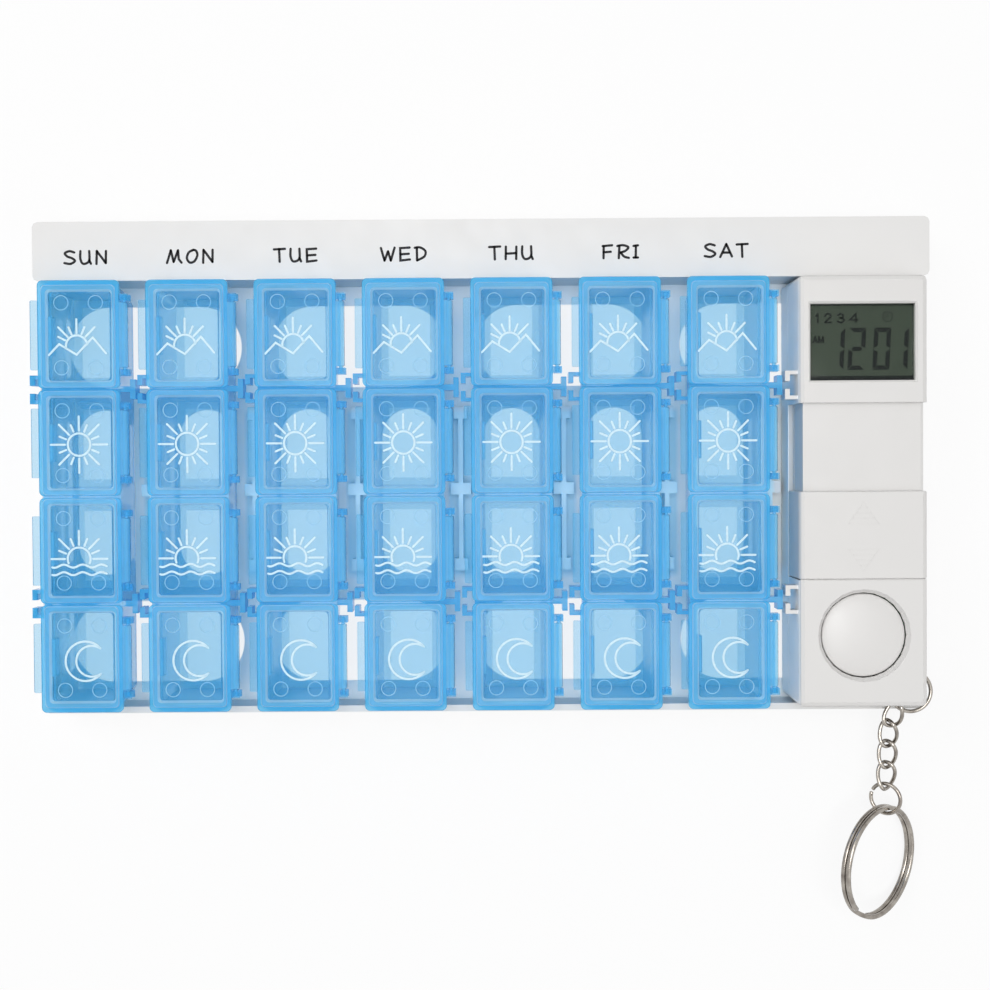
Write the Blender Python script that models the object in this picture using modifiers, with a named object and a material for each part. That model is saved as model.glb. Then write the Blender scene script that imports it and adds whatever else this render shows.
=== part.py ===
"""Weekly pill organizer: a white tray, seven lift-out day boxes with four lidded pockets each,
a lift-out alarm timer and a key chain. Metres, +Z up, origin under the middle of the tray."""
import math

import bmesh
import bpy
from mathutils import Matrix, Vector

DAYS = ("SUN", "MON", "TUE", "WED", "THU", "FRI", "SAT")
LIDS_PER_DAY = 4

# General fits
GAP = 0.0003
OVERRUN = 0.003
SINK = 0.0002
MERGE = 0.000001

# Tray
TRAY_FLOOR = 0.0020
TRAY_WALL = 0.0016
TRAY_WALL_RISE = 0.0005
TRAY_CORNER = 0.0013
HEADER_DEPTH = 0.0147
HEADER_HEIGHT = 0.0180
HEADER_SKIN = 0.0018
HEADER_CELLS = 2

# Room round the boxes and the timer in the tray
LEFT_SPACE = 0.00245
RIGHT_SPACE = 0.00115
END_SPACE = 0.00075
TIMER_SIDE_SPACE = 0.00745
TIMER_END_SPACE = 0.00105

# Windows in the tray floor
END_WINDOW_WIDTH = 0.0210
WINDOW_EDGE = 0.00415
ROW_BRIDGE = 0.00635
DAY_BRIDGE = 0.0082
MIDDLE_BRIDGE = 0.0118
MIDDLE_WINDOW_SHIFT = 0.0006
WINDOW_ROUND_SHARE = 0.499

# Fins that stand between the day boxes
FIN_HEIGHT = 0.0080
FIN_THICKNESS = 0.0012
FIN_END_SPACE = 0.00195
FIN_SHIFT = 0.0012
FIN_END_WIDTH = 0.0034
FIN_MIDDLE_WIDTH = 0.0052
FIN_CROSS_DEPTH = 0.0030

# Day boxes
DAY_SPACE = 0.0073
POCKET_WIDTH = 0.0168
POCKET_LENGTH = 0.0242
POCKET_DRAFT = 0.0014
POCKET_ROUND = 0.0018
POCKET_DIVIDER = 0.0021
BOX_SIDE_WALL = 0.00115
BOX_END_WALL = 0.0013
BOX_RIM_Z = 0.0244
BOX_DRAFT = 0.0017
BOX_ROUND = 0.0026
BOX_FLOOR = 0.0013

# Connectors that clip one box to the next
CLIP_HEIGHT = 0.0045
CLIP_TOP_DROP = 0.0004
CLAW_LENGTH = 0.0070
CLAW_REACH = 0.0031
CLAW_ARM = 0.0009
CLAW_LIP = 0.0012
CLAW_MOUTH = 0.0019
TEE_REACH = 0.0037
TEE_LENGTH = 0.0048
TEE_THICKNESS = 0.0013
TEE_STEM = 0.0014

# Lids
LID_THICKNESS = 0.0015
LID_LEFT_LAP = 0.0006
LID_RIGHT_LAP = 0.00035
LID_GAP = 0.0004
LID_CORNER = 0.0012
PLUG_DEPTH = 0.0018
PLUG_WALL = 0.0008
LATCH_LENGTH = 0.0093
LATCH_THICKNESS = 0.0012
LATCH_DEPTH = 0.0031
LATCH_INSET = 0.0002
TAB_LENGTH = 0.0170
TAB_REACH = 0.00175
TAB_THICKNESS = 0.0010
TAB_DROP = 0.0002

# Lid hinge
HINGE_OUT = 0.00145
HINGE_RISE = 0.0005
BARREL_RADIUS = 0.0009
BARREL_LENGTH = 0.0160
PIN_RADIUS = 0.0005
PIN_REACH = 0.0016
WEB_THICKNESS = 0.0009
EAR_THICKNESS = 0.0016
EAR_LEFT = 0.00115
EAR_RIGHT = 0.0011
EAR_TOP = 0.0012
EAR_FOOT = 0.0020
EAR_NOTCH = 0.00185
EAR_NOTCH_SIDE = 0.0005

# Display
DISPLAY_SHIFT = -0.000065
DISPLAY_WIDTH = 0.02555
DISPLAY_LENGTH = 0.0187
DISPLAY_CHAMFER = 0.0005
DISPLAY_TO_END = 0.0069
DISPLAY_TO_TRACK = 0.0054
LENS_THICKNESS = 0.0011
LENS_DROP = 0.0007
MODULE_SIDE_LAP = 0.000725
MODULE_END_LAP = 0.0009
MODULE_SIDE_SPACE = 0.000325
MODULE_THICKNESS = 0.0023
STRIP_INSET = 0.0025
STRIP_DEPTH = 0.0022
STRIP_SHIFT = 0.0080

# Timer housing
TIMER_SEAM_Z = 0.0120
TIMER_WALL = 0.0018
TIMER_ROUND = 0.0012
BACK_FLOOR = 0.0020

# Alarm button
ALARM_SHIFT = 0.000175
ALARM_RADIUS = 0.0102
ALARM_DROP = 0.00015
ALARM_CROWN = 0.0016
ALARM_FLANGE = 0.0010
ALARM_FLANGE_THICKNESS = 0.0009
ALARM_STEM_RADIUS = 0.0030
ALARM_STEM = 0.0016
ALARM_TO_END = 0.00585
ALARM_TO_TRACK = 0.0019
WELL_BAND = 0.00145
WELL_DEPTH = 0.0012

# Track of the slide cover
TRACK_DROP = 0.0019
TRACK_INSET = 0.0012
TRACK_WALL = 0.0017
TRACK_SKIN = 0.0018
RAIL_DEPTH = 0.0006
RAIL_RISE = 0.0011
RAIL_HEIGHT = 0.0012
COVER_LENGTH = 0.0214
COVER_SKIRT = 0.0009
COVER_RISE = 0.0006
COVER_HOOK = 0.0006

# Batteries and their bay
BATTERY_RADIUS = 0.00525
BATTERY_LENGTH = 0.0445
BATTERY_SPACING = 0.0112
BATTERY_TO_END = 0.0102
BATTERY_HEADROOM = 0.0025
BATTERY_TIP_RADIUS = 0.0019
BATTERY_TIP = 0.0008
CONTACT_THICKNESS = 0.0004
CONTACT_INSET = 0.00035
CONTACT_HEIGHT = 0.0070
BAY_WALL = 0.0010
BAY_WALL_DROP = 0.0010
DOOR_THICKNESS = 0.0014
DOOR_LAP = 0.00075
DOOR_SHORTFALL = 0.0005
DOOR_TRAVEL = 0.0030
DOOR_TONGUE = 0.0008
DOOR_TONGUE_THICKNESS = 0.0004
DOOR_TONGUE_RISE = 0.0008
GRIP_PITCH = 0.0028
GRIP_WIDTH = 0.0014
GRIP_DEPTH = 0.00035
GRIP_COUNT = 3

# Circuit board and what stands on it
BOARD_DROP = 0.0074
BOARD_THICKNESS = 0.0016
BOARD_SIDE_SPACE = 0.000425
BOARD_END_SPACE = 0.0007
BOARD_TO_EYE = 0.0010
SWITCH_SIZE = 0.0040
SWITCH_HEIGHT = 0.0014
BOSS_RADIUS = 0.0015
BOSS_INSET = 0.0011
BOSS_END_INSET = 0.0014
BOSS_TO_TRACK = 0.00185
BUZZER_RADIUS = 0.0070
BUZZER_HEIGHT = 0.0035
BUZZER_TO_BAY = 0.0074
BUZZER_PORT_RADIUS = 0.0012
BUZZER_PORT_DEPTH = 0.0017

# Set buttons under the slide cover
SET_PITCH = 0.0074
SET_RADIUS = 0.0022
SET_LIP = 0.0007
SET_LIP_THICKNESS = 0.0010
SET_DROP = 0.0001
SET_CHAMFER = 0.0003
SET_LIP_GAP = 0.0004

# Eye of the key chain
EYE_WIDTH = 0.0075
EYE_INSET = 0.00205
EYE_DEPTH = 0.0027
EYE_RISE = 0.0016
EYE_HEIGHT = 0.0058
EYE_SIDE_SKIN = 0.0012
EYE_TOP_SKIN = 0.0014
EYE_FOOT_SKIN = 0.0012
EYE_BLOCK_DEPTH = 0.0096
CHANNEL_CLEARANCE = 0.00035

# Key chain
WIRE = 0.0010
CORNER_RING_RADIUS = 0.0051
CORNER_RING_INSET_X = 0.00165
CORNER_RING_INSET_Y = 0.0024
CORNER_RING_STEPS = 20
HOOK_ANGLE = 40.0
LINK_LENGTH = 0.0080
LINK_WIDTH = 0.0052
LINK_GAP = 0.00035
LINK_TWIST = -45.0
LINK_SQUARENESS = 2.6
LINK_HEADINGS = (-18.0, 1.0, 0.0, -2.0)
LINK_SLOPES = (20.0, 14.0, 9.0, 6.0)
LINK_ROLLS = (-30.0, -20.0, -10.0, 0.0)
JUMP_RADIUS = 0.00385
JUMP_TILT = 35.0
JUMP_HEADING = 2.0
JUMP_SLOPE = 3.0
JUMP_OPENING_ANGLE = 155.0
JUMP_OPENING = 14.0
JUMP_STEPS = 15
SPLIT_RADIUS = 0.0140
SPLIT_WIRE = 0.0012
SPLIT_PITCH = 0.0014
SPLIT_GAP = 0.0005
SPLIT_TILT = -42.0
SPLIT_HEADING = -8.0
SPLIT_RISE = 1.0
SPLIT_START = 16.0
SPLIT_JOG = 30.0

# Day boxes and the windows under them, worked out from their pockets
day_count = len(DAYS)
row_pitch = POCKET_LENGTH + POCKET_DIVIDER
box_width = POCKET_WIDTH + 2 * BOX_SIDE_WALL
box_length = (LIDS_PER_DAY - 1) * row_pitch + POCKET_LENGTH + 2 * BOX_END_WALL
day_pitch = box_width + DAY_SPACE
box_foot_z = TRAY_FLOOR + GAP
hinge_x = box_width / 2 + HINGE_OUT
hinge_z = BOX_RIM_Z + HINGE_RISE
lid_low_z = BOX_RIM_Z + GAP
end_window_length = 2 * day_pitch - DAY_BRIDGE
end_window_offset = box_length / 2 - WINDOW_EDGE - END_WINDOW_WIDTH / 2
middle_window_width = day_pitch - MIDDLE_BRIDGE
middle_window_length = box_length - 2 * (WINDOW_EDGE + END_WINDOW_WIDTH + ROW_BRIDGE)
fin_length = middle_window_length - 2 * FIN_END_SPACE

# Timer, as wide as its display module and as high as its stack of battery, board and display
module_width = DISPLAY_WIDTH + 2 * MODULE_SIDE_LAP
timer_width = module_width + 2 * (MODULE_SIDE_SPACE + TIMER_WALL)
back_foot_z = TRAY_FLOOR + GAP
battery_z = back_foot_z + DOOR_THICKNESS + GAP + BATTERY_RADIUS
board_top_z = battery_z + BATTERY_RADIUS + BATTERY_HEADROOM + BOARD_THICKNESS
timer_top = board_top_z + BOARD_DROP

# Tray, long and deep enough for seven boxes and the timer
inner_x = (LEFT_SPACE + (day_count - 1) * day_pitch + box_width + TIMER_SIDE_SPACE + timer_width
           + RIGHT_SPACE) / 2
inner_depth = box_length + 2 * END_SPACE
tray_half_x = inner_x + TRAY_WALL
tray_half_y = (inner_depth + TRAY_WALL + HEADER_DEPTH) / 2
inner_low_y = -tray_half_y + TRAY_WALL
inner_high_y = tray_half_y - HEADER_DEPTH
tray_wall_z = TIMER_SEAM_Z + TRAY_WALL_RISE
first_day_x = -inner_x + LEFT_SPACE + box_width / 2
box_centre_y = (inner_low_y + inner_high_y) / 2

# Places in the timer, from its ends
timer_right = inner_x - RIGHT_SPACE
timer_left = timer_right - timer_width
timer_x = (timer_left + timer_right) / 2
timer_low_y = inner_low_y + TIMER_END_SPACE
timer_high_y = inner_high_y - END_SPACE
timer_y = (timer_low_y + timer_high_y) / 2
display_x = timer_x + DISPLAY_SHIFT
display_y = timer_high_y - DISPLAY_TO_END - DISPLAY_LENGTH / 2
well_radius = ALARM_RADIUS + WELL_BAND
alarm_x = timer_x + ALARM_SHIFT
alarm_y = timer_low_y + ALARM_TO_END + well_radius
track_low_y = alarm_y + well_radius + ALARM_TO_TRACK
track_high_y = display_y - DISPLAY_LENGTH / 2 - DISPLAY_TO_TRACK
battery_low_y = timer_low_y + BATTERY_TO_END
battery_high_y = battery_low_y + BATTERY_LENGTH
contact_space = 2 * GAP + CONTACT_THICKNESS
battery_pair_width = BATTERY_SPACING + 2 * BATTERY_RADIUS
door_width = battery_pair_width + 2 * DOOR_LAP
buzzer_y = battery_high_y + contact_space + BAY_WALL + BUZZER_TO_BAY + BUZZER_RADIUS
board_width = timer_width - 2 * (TRACK_INSET + TRACK_WALL + BOARD_SIDE_SPACE)
board_low_y = timer_low_y + EYE_BLOCK_DEPTH + BOARD_TO_EYE
board_high_y = timer_high_y - TIMER_WALL - BOARD_END_SPACE
eye_right = timer_right - EYE_INSET
eye_left = eye_right - EYE_WIDTH
eye_low_z = TIMER_SEAM_Z + EYE_RISE
eye_high_z = eye_low_z + EYE_HEIGHT
corner_ring_centre = Vector((
    timer_right - CORNER_RING_INSET_X, timer_low_y + CORNER_RING_INSET_Y, (eye_low_z + eye_high_z) / 2,
))

scene_root = bpy.context.scene.collection


def clear_scene():
    for old in list(bpy.data.objects):
        bpy.data.objects.remove(old, do_unlink=True)


def material(name, colour, roughness, metallic=0.0, transmission=0.0, alpha=1.0):
    made = bpy.data.materials.new(name)
    made.use_nodes = True
    shader = made.node_tree.nodes["Principled BSDF"]
    shader.inputs["Base Color"].default_value = (*colour, 1.0)
    shader.inputs["Roughness"].default_value = roughness
    shader.inputs["Metallic"].default_value = metallic
    shader.inputs["Transmission Weight"].default_value = transmission
    shader.inputs["Alpha"].default_value = alpha
    made.diffuse_color = (*colour, 1.0)
    return made


def as_object(name, builder):
    """Turns a bmesh into an object of the model's collection."""
    mesh = bpy.data.meshes.new(name)
    bmesh.ops.recalc_face_normals(builder, faces=builder.faces)
    builder.to_mesh(mesh)
    builder.free()
    made = bpy.data.objects.new(name, mesh)
    organizer.objects.link(made)
    return made


def round_edges(builder, edges, radius, steps):
    bmesh.ops.bevel(
        builder, geom=edges, offset=radius, offset_type="OFFSET",
        segments=steps, profile=0.5, affect="EDGES", clamp_overlap=True,
    )


def block(name, low, high, upright=0.0, foot=0.0, rim=0.0, steps=2, draft=0.0):
    """A box between two corners. Its upright, foot and rim edges are rounded, and draft draws in its foot."""
    builder = bmesh.new()
    bmesh.ops.create_cube(builder, size=1.0)
    low, high = Vector(low), Vector(high)
    for corner in builder.verts:
        inset = draft if corner.co.z < 0.0 else 0.0
        corner.co.x = low.x + inset if corner.co.x < 0.0 else high.x - inset
        corner.co.y = low.y + inset if corner.co.y < 0.0 else high.y - inset
        corner.co.z = low.z if corner.co.z < 0.0 else high.z

    def at_height(edge, height):
        return all(abs(corner.co.z - height) < MERGE for corner in edge.verts)

    def uprights():
        return [edge for edge in builder.edges if abs(edge.verts[0].co.z - edge.verts[1].co.z) > MERGE]

    def foot_edges():
        return [edge for edge in builder.edges if at_height(edge, low.z)]

    def rim_edges():
        return [edge for edge in builder.edges if at_height(edge, high.z)]

    if upright and upright == foot == rim:
        round_edges(builder, list(builder.edges), upright, steps)
        return as_object(name, builder)
    if upright and upright == foot:
        round_edges(builder, uprights() + foot_edges(), upright, steps)
        foot = 0.0
    elif upright and upright == rim:
        round_edges(builder, uprights() + rim_edges(), upright, steps)
        rim = 0.0
    elif upright:
        round_edges(builder, uprights(), upright, steps)
    if foot:
        round_edges(builder, foot_edges(), foot, steps)
    if rim:
        round_edges(builder, rim_edges(), rim, steps)
    return as_object(name, builder)


def drum(name, centre, radius, length, axis="Z", sides=16, top_radius=None):
    """A cylinder or cone about its centre, along one axis."""
    builder = bmesh.new()
    bmesh.ops.create_cone(
        builder, cap_ends=True, segments=sides, radius1=radius,
        radius2=radius if top_radius is None else top_radius, depth=length,
    )
    turns = {"X": Matrix.Rotation(math.pi / 2, 4, "Y"), "Y": Matrix.Rotation(-math.pi / 2, 4, "X")}
    bmesh.ops.transform(builder, matrix=turns.get(axis, Matrix.Identity(4)), verts=builder.verts)
    bmesh.ops.translate(builder, vec=Vector(centre), verts=builder.verts)
    return as_object(name, builder)


def settle(made):
    """Replaces an object's mesh by its evaluated one, with the doubles on its seams welded."""
    graph = bpy.context.evaluated_depsgraph_get()
    graph.update()
    mesh = bpy.data.meshes.new_from_object(made.evaluated_get(graph))
    builder = bmesh.new()
    builder.from_mesh(mesh)
    bmesh.ops.remove_doubles(builder, verts=builder.verts, dist=MERGE)
    builder.to_mesh(mesh)
    builder.free()
    made.modifiers.clear()
    made.data = mesh
    return made


def combine(body, tools, operation):
    """Joins the tools to the body, or cuts them out of it, and removes them."""
    for tool in tools:
        step = body.modifiers.new(tool.name, "BOOLEAN")
        step.operation = operation
        step.solver = "EXACT"
        step.object = tool
    settle(body)
    for tool in tools:
        bpy.data.objects.remove(tool, do_unlink=True)
    return body


def join(body, *tools):
    return combine(body, tools, "UNION")


def cut(body, *tools):
    return combine(body, tools, "DIFFERENCE")


def turned(name, profile, centre, sides):
    """A profile of (radius, height) points, from the top down its outer side, turned about Z."""
    mesh = bpy.data.meshes.new(name)
    points = [(radius, 0.0, height) for radius, height in profile]
    mesh.from_pydata(points, [(index, index + 1) for index in range(len(points) - 1)], [])
    made = bpy.data.objects.new(name, mesh)
    organizer.objects.link(made)
    screw = made.modifiers.new("Turn", "SCREW")
    screw.axis = "Z"
    screw.steps = sides
    screw.render_steps = sides
    screw.use_merge_vertices = True
    screw.merge_threshold = MERGE
    settle(made)
    made.data.transform(Matrix.Translation(centre))
    return made


def wire(name, points, radius, closed, resolution=1):
    """A round wire along the points, as a mesh with welded caps."""
    curve = bpy.data.curves.new(name, "CURVE")
    curve.dimensions = "3D"
    curve.bevel_depth = radius
    curve.bevel_resolution = resolution
    curve.use_fill_caps = not closed
    spline = curve.splines.new("POLY")
    spline.points.add(len(points) - 1)
    for point, place in zip(spline.points, points):
        point.co = (*place, 1.0)
    spline.use_cyclic_u = closed
    drawn = bpy.data.objects.new(name, curve)
    organizer.objects.link(drawn)
    graph = bpy.context.evaluated_depsgraph_get()
    graph.update()
    mesh = bpy.data.meshes.new_from_object(drawn.evaluated_get(graph))
    bpy.data.objects.remove(drawn, do_unlink=True)
    builder = bmesh.new()
    builder.from_mesh(mesh)
    bmesh.ops.remove_doubles(builder, verts=builder.verts, dist=MERGE)
    bpy.data.meshes.remove(mesh)
    return as_object(name, builder)


def smooth(made, angle=35.0):
    made.data.shade_smooth()
    made.data.set_sharp_from_angle(angle=math.radians(angle))
    return made


def dress(made, finish):
    made.data.materials.clear()
    made.data.materials.append(finish)
    return made


def set_origin(made, pivot, parent=None):
    """Puts an object's origin on its joint, and hangs it from its parent."""
    pivot = Vector(pivot)
    made.data.transform(Matrix.Translation(-pivot))
    made.location = pivot
    if parent:
        made.parent = parent
        made.location = pivot - parent.location
    return made


def empty(name, place):
    made = bpy.data.objects.new(name, None)
    made.location = place
    organizer.objects.link(made)
    return made


def day_x(index):
    return first_day_x + index * day_pitch


def row_y(row):
    """Middle of a row of pockets, counted from the header, measured from the middle of its box."""
    return ((LIDS_PER_DAY - 1) / 2 - row) * row_pitch


# Tray

def slot_cutter(name, x, y, length_x, length_y):
    """A round-ended window right through the tray floor."""
    half_x, half_y = length_x / 2, length_y / 2
    return block(
        name, (x - half_x, y - half_y, -OVERRUN), (x + half_x, y + half_y, TRAY_FLOOR + OVERRUN),
        upright=min(length_x, length_y) * WINDOW_ROUND_SHARE, steps=2,
    )


def make_fin(index):
    """A thin rib with three cross pieces, in the space to the right of one day box."""
    x = day_x(index) + day_pitch / 2
    y = box_centre_y + FIN_SHIFT
    half_length = fin_length / 2
    foot = TRAY_FLOOR - SINK
    fin = block(
        "fin", (x - FIN_THICKNESS / 2, y - half_length, foot),
        (x + FIN_THICKNESS / 2, y + half_length, FIN_HEIGHT),
    )
    crosses = []
    for side, width in ((-1, FIN_END_WIDTH), (0, FIN_MIDDLE_WIDTH), (1, FIN_END_WIDTH)):
        middle = y + side * half_length
        crosses.append(block(
            "cross", (x - width / 2, middle - FIN_CROSS_DEPTH / 2, foot),
            (x + width / 2, middle + FIN_CROSS_DEPTH / 2, FIN_HEIGHT),
        ))
    return join(fin, *crosses)


def make_tray():
    half_x, half_y = tray_half_x, tray_half_y
    tray = block("tray", (-half_x, -half_y, 0.0), (half_x, half_y, tray_wall_z), upright=TRAY_CORNER)
    header = block(
        "header", (-half_x, inner_high_y, 0.0), (half_x, half_y, HEADER_HEIGHT), upright=TRAY_CORNER
    )
    join(tray, header)
    cut(tray, block(
        "recess", (-inner_x, inner_low_y, TRAY_FLOOR), (inner_x, inner_high_y, HEADER_HEIGHT + OVERRUN),
        upright=TRAY_CORNER / 2, steps=1,
    ))
    cells = []
    cell_pitch = (2 * inner_x + HEADER_SKIN) / HEADER_CELLS
    for index in range(HEADER_CELLS):
        left = -inner_x + index * cell_pitch
        cells.append(block(
            "cell", (left, inner_high_y + HEADER_SKIN, -OVERRUN),
            (left + cell_pitch - HEADER_SKIN, half_y - HEADER_SKIN, HEADER_HEIGHT - HEADER_SKIN),
        ))
    cut(tray, *cells)
    windows = []
    for index in range(0, len(DAYS), 2):
        x = day_x(index) + day_pitch / 2
        for side in (-1, 1):
            windows.append(slot_cutter(
                "window", x, box_centre_y + side * end_window_offset, end_window_length, END_WINDOW_WIDTH
            ))
    for index in range(len(DAYS)):
        windows.append(slot_cutter(
            "window", day_x(index), box_centre_y + MIDDLE_WINDOW_SHIFT,
            middle_window_width, middle_window_length,
        ))
    cut(tray, *windows)
    join(tray, *[make_fin(index) for index in range(len(DAYS))])
    return tray


# Day boxes

def claw_parts(wall_x, reach, y, top_z):
    """A C-shaped claw on the left of a wall at wall_x, open at its outer side."""
    half = CLAW_LENGTH / 2
    low_z = top_z - CLIP_HEIGHT
    claw = block(
        "claw", (wall_x - reach, y - half, low_z), (wall_x + 4 * SINK, y + half, top_z)
    )
    inner = half - CLAW_ARM
    slot = block(
        "slot", (wall_x - reach + CLAW_LIP, y - inner, low_z - OVERRUN), (wall_x, y + inner, top_z + OVERRUN)
    )
    mouth = block(
        "mouth", (wall_x - reach - OVERRUN, y - CLAW_MOUTH / 2, low_z - OVERRUN),
        (wall_x - reach + CLAW_LIP + SINK, y + CLAW_MOUTH / 2, top_z + OVERRUN),
    )
    return cut(claw, slot, mouth)


def tee_parts(wall_x, y, top_z):
    """A T-shaped bar on the right of a wall at wall_x."""
    low_z = top_z - CLIP_HEIGHT
    outer = wall_x + TEE_REACH
    stem = block(
        "stem", (wall_x - 4 * SINK, y - TEE_STEM / 2, low_z),
        (outer - TEE_THICKNESS + SINK, y + TEE_STEM / 2, top_z),
    )
    bar = block("bar", (outer - TEE_THICKNESS, y - TEE_LENGTH / 2, low_z), (outer, y + TEE_LENGTH / 2, top_z))
    return join(stem, bar)


def ear(y_low):
    """One hinge ear with its side slot, which the lid's pin snaps into."""
    y_high = y_low + EAR_THICKNESS
    clearance = PIN_RADIUS + GAP
    body = block(
        "ear", (hinge_x - EAR_LEFT, y_low, hinge_z - EAR_FOOT),
        (hinge_x + EAR_RIGHT, y_high, hinge_z + EAR_TOP),
    )
    arm = block(
        "arm", (box_width / 2 - BOX_DRAFT, y_low, hinge_z - EAR_FOOT),
        (hinge_x - SINK, y_high, BOX_RIM_Z - GAP),
    )
    slot = block(
        "slot", (hinge_x - clearance, y_low - OVERRUN, hinge_z - clearance),
        (hinge_x + EAR_RIGHT + OVERRUN, y_high + OVERRUN, hinge_z + clearance),
    )
    return cut(join(body, arm), slot)


def make_box_mesh():
    """A day box about its own middle: four pockets, hinge ears, claws and T-bars."""
    half_x, half_y = box_width / 2, box_length / 2
    box = block(
        "box", (-half_x, -half_y, box_foot_z), (half_x, half_y, BOX_RIM_Z),
        upright=BOX_ROUND, foot=BOX_ROUND, steps=2, draft=BOX_DRAFT,
    )
    additions = []
    for side in (-1, 1):
        additions.append(claw_parts(-half_x, CLAW_REACH, side * row_pitch, BOX_RIM_Z - CLIP_TOP_DROP))
        additions.append(tee_parts(half_x, side * row_pitch, BOX_RIM_Z - CLIP_TOP_DROP))
    for row in range(LIDS_PER_DAY):
        inner = BARREL_LENGTH / 2 + GAP
        additions.append(ear(row_y(row) + inner))
        additions.append(ear(row_y(row) - inner - EAR_THICKNESS))
    join(box, *additions)
    pockets = []
    for row in range(LIDS_PER_DAY):
        middle = row_y(row)
        pockets.append(block(
            "pocket", (-POCKET_WIDTH / 2, middle - POCKET_LENGTH / 2, box_foot_z + BOX_FLOOR),
            (POCKET_WIDTH / 2, middle + POCKET_LENGTH / 2, BOX_RIM_Z + OVERRUN),
            foot=POCKET_ROUND, steps=1, draft=POCKET_DRAFT,
        ))
    cut(box, *pockets)
    box.data.transform(Matrix.Translation((0.0, 0.0, -box_foot_z)))
    return smooth(dress(box, blue_clear))


# Lids

def make_lid_mesh(upper_reach, lower_reach):
    """A lid about its hinge axis. The reaches are its lengths to each side of the pocket's middle."""
    top_z = lid_low_z + LID_THICKNESS
    left, right = box_width / 2 + LID_LEFT_LAP, box_width / 2 + LID_RIGHT_LAP
    lid = block(
        "lid", (-left, -lower_reach, lid_low_z), (right, upper_reach, top_z),
        upright=LID_CORNER, steps=1,
    )
    plug_x = POCKET_WIDTH / 2 - GAP
    plug_y = POCKET_LENGTH / 2 - GAP
    plug = block(
        "plug", (-plug_x, -plug_y, lid_low_z - PLUG_DEPTH), (plug_x, plug_y, lid_low_z + SINK),
    )
    hollow = block(
        "hollow", (-plug_x + PLUG_WALL, -plug_y + PLUG_WALL, lid_low_z - PLUG_DEPTH - OVERRUN),
        (plug_x - PLUG_WALL, plug_y - PLUG_WALL, lid_low_z)
    )
    latch = block(
        "latch", (-plug_x + LATCH_INSET, -LATCH_LENGTH / 2, lid_low_z - LATCH_DEPTH),
        (-plug_x + LATCH_INSET + LATCH_THICKNESS, LATCH_LENGTH / 2, lid_low_z + SINK),
    )
    tab = block(
        "tab", (-left - TAB_REACH, -TAB_LENGTH / 2, top_z - TAB_DROP - TAB_THICKNESS),
        (-left + SINK, TAB_LENGTH / 2, top_z - TAB_DROP),
    )
    web = block(
        "web", (right - SINK, -BARREL_LENGTH / 2, hinge_z),
        (hinge_x, BARREL_LENGTH / 2, hinge_z + WEB_THICKNESS - SINK),
    )
    barrel = drum("barrel", (hinge_x, 0.0, hinge_z), BARREL_RADIUS, BARREL_LENGTH, axis="Y", sides=6)
    pin = drum("pin", (hinge_x, 0.0, hinge_z), PIN_RADIUS, BARREL_LENGTH + 2 * PIN_REACH, axis="Y", sides=6)
    notches = []
    for side in (-1, 1):
        near = side * (BARREL_LENGTH / 2 + GAP / 2)
        far = side * (BARREL_LENGTH / 2 + GAP + EAR_THICKNESS + EAR_NOTCH_SIDE)
        notches.append(block(
            "notch", (hinge_x - EAR_NOTCH, min(near, far), lid_low_z - SINK),
            (right + OVERRUN, max(near, far), top_z + OVERRUN),
        ))
    join(lid, plug)
    cut(lid, hollow, *notches)
    join(lid, latch, tab, web, barrel, pin)
    lid.data.transform(Matrix.Translation((-hinge_x, 0.0, -hinge_z)))
    return smooth(dress(lid, blue_clear))


def place_days():
    box_pattern = make_box_mesh()
    inner_reach = (row_pitch - LID_GAP) / 2
    outer_reach = box_length / 2 - row_y(0)
    reaches = {0: (outer_reach, inner_reach), LIDS_PER_DAY - 1: (inner_reach, outer_reach)}
    lid_patterns = {}
    for row in range(LIDS_PER_DAY):
        pair = reaches.get(row, (inner_reach, inner_reach))
        if pair not in lid_patterns:
            lid_patterns[pair] = make_lid_mesh(*pair)
    for index, day in enumerate(DAYS):
        box = bpy.data.objects.new(f"box_{day}", box_pattern.data)
        box.location = (day_x(index), box_centre_y, box_foot_z)
        organizer.objects.link(box)
        for row in range(LIDS_PER_DAY):
            pattern = lid_patterns[reaches.get(row, (inner_reach, inner_reach))]
            lid = bpy.data.objects.new(f"lid_{day}_{row + 1}", pattern.data)
            lid.parent = box
            lid.location = (hinge_x, row_y(row), hinge_z - box_foot_z)
            organizer.objects.link(lid)
    for pattern in [box_pattern, *lid_patterns.values()]:
        bpy.data.objects.remove(pattern, do_unlink=True)


# Timer

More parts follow.
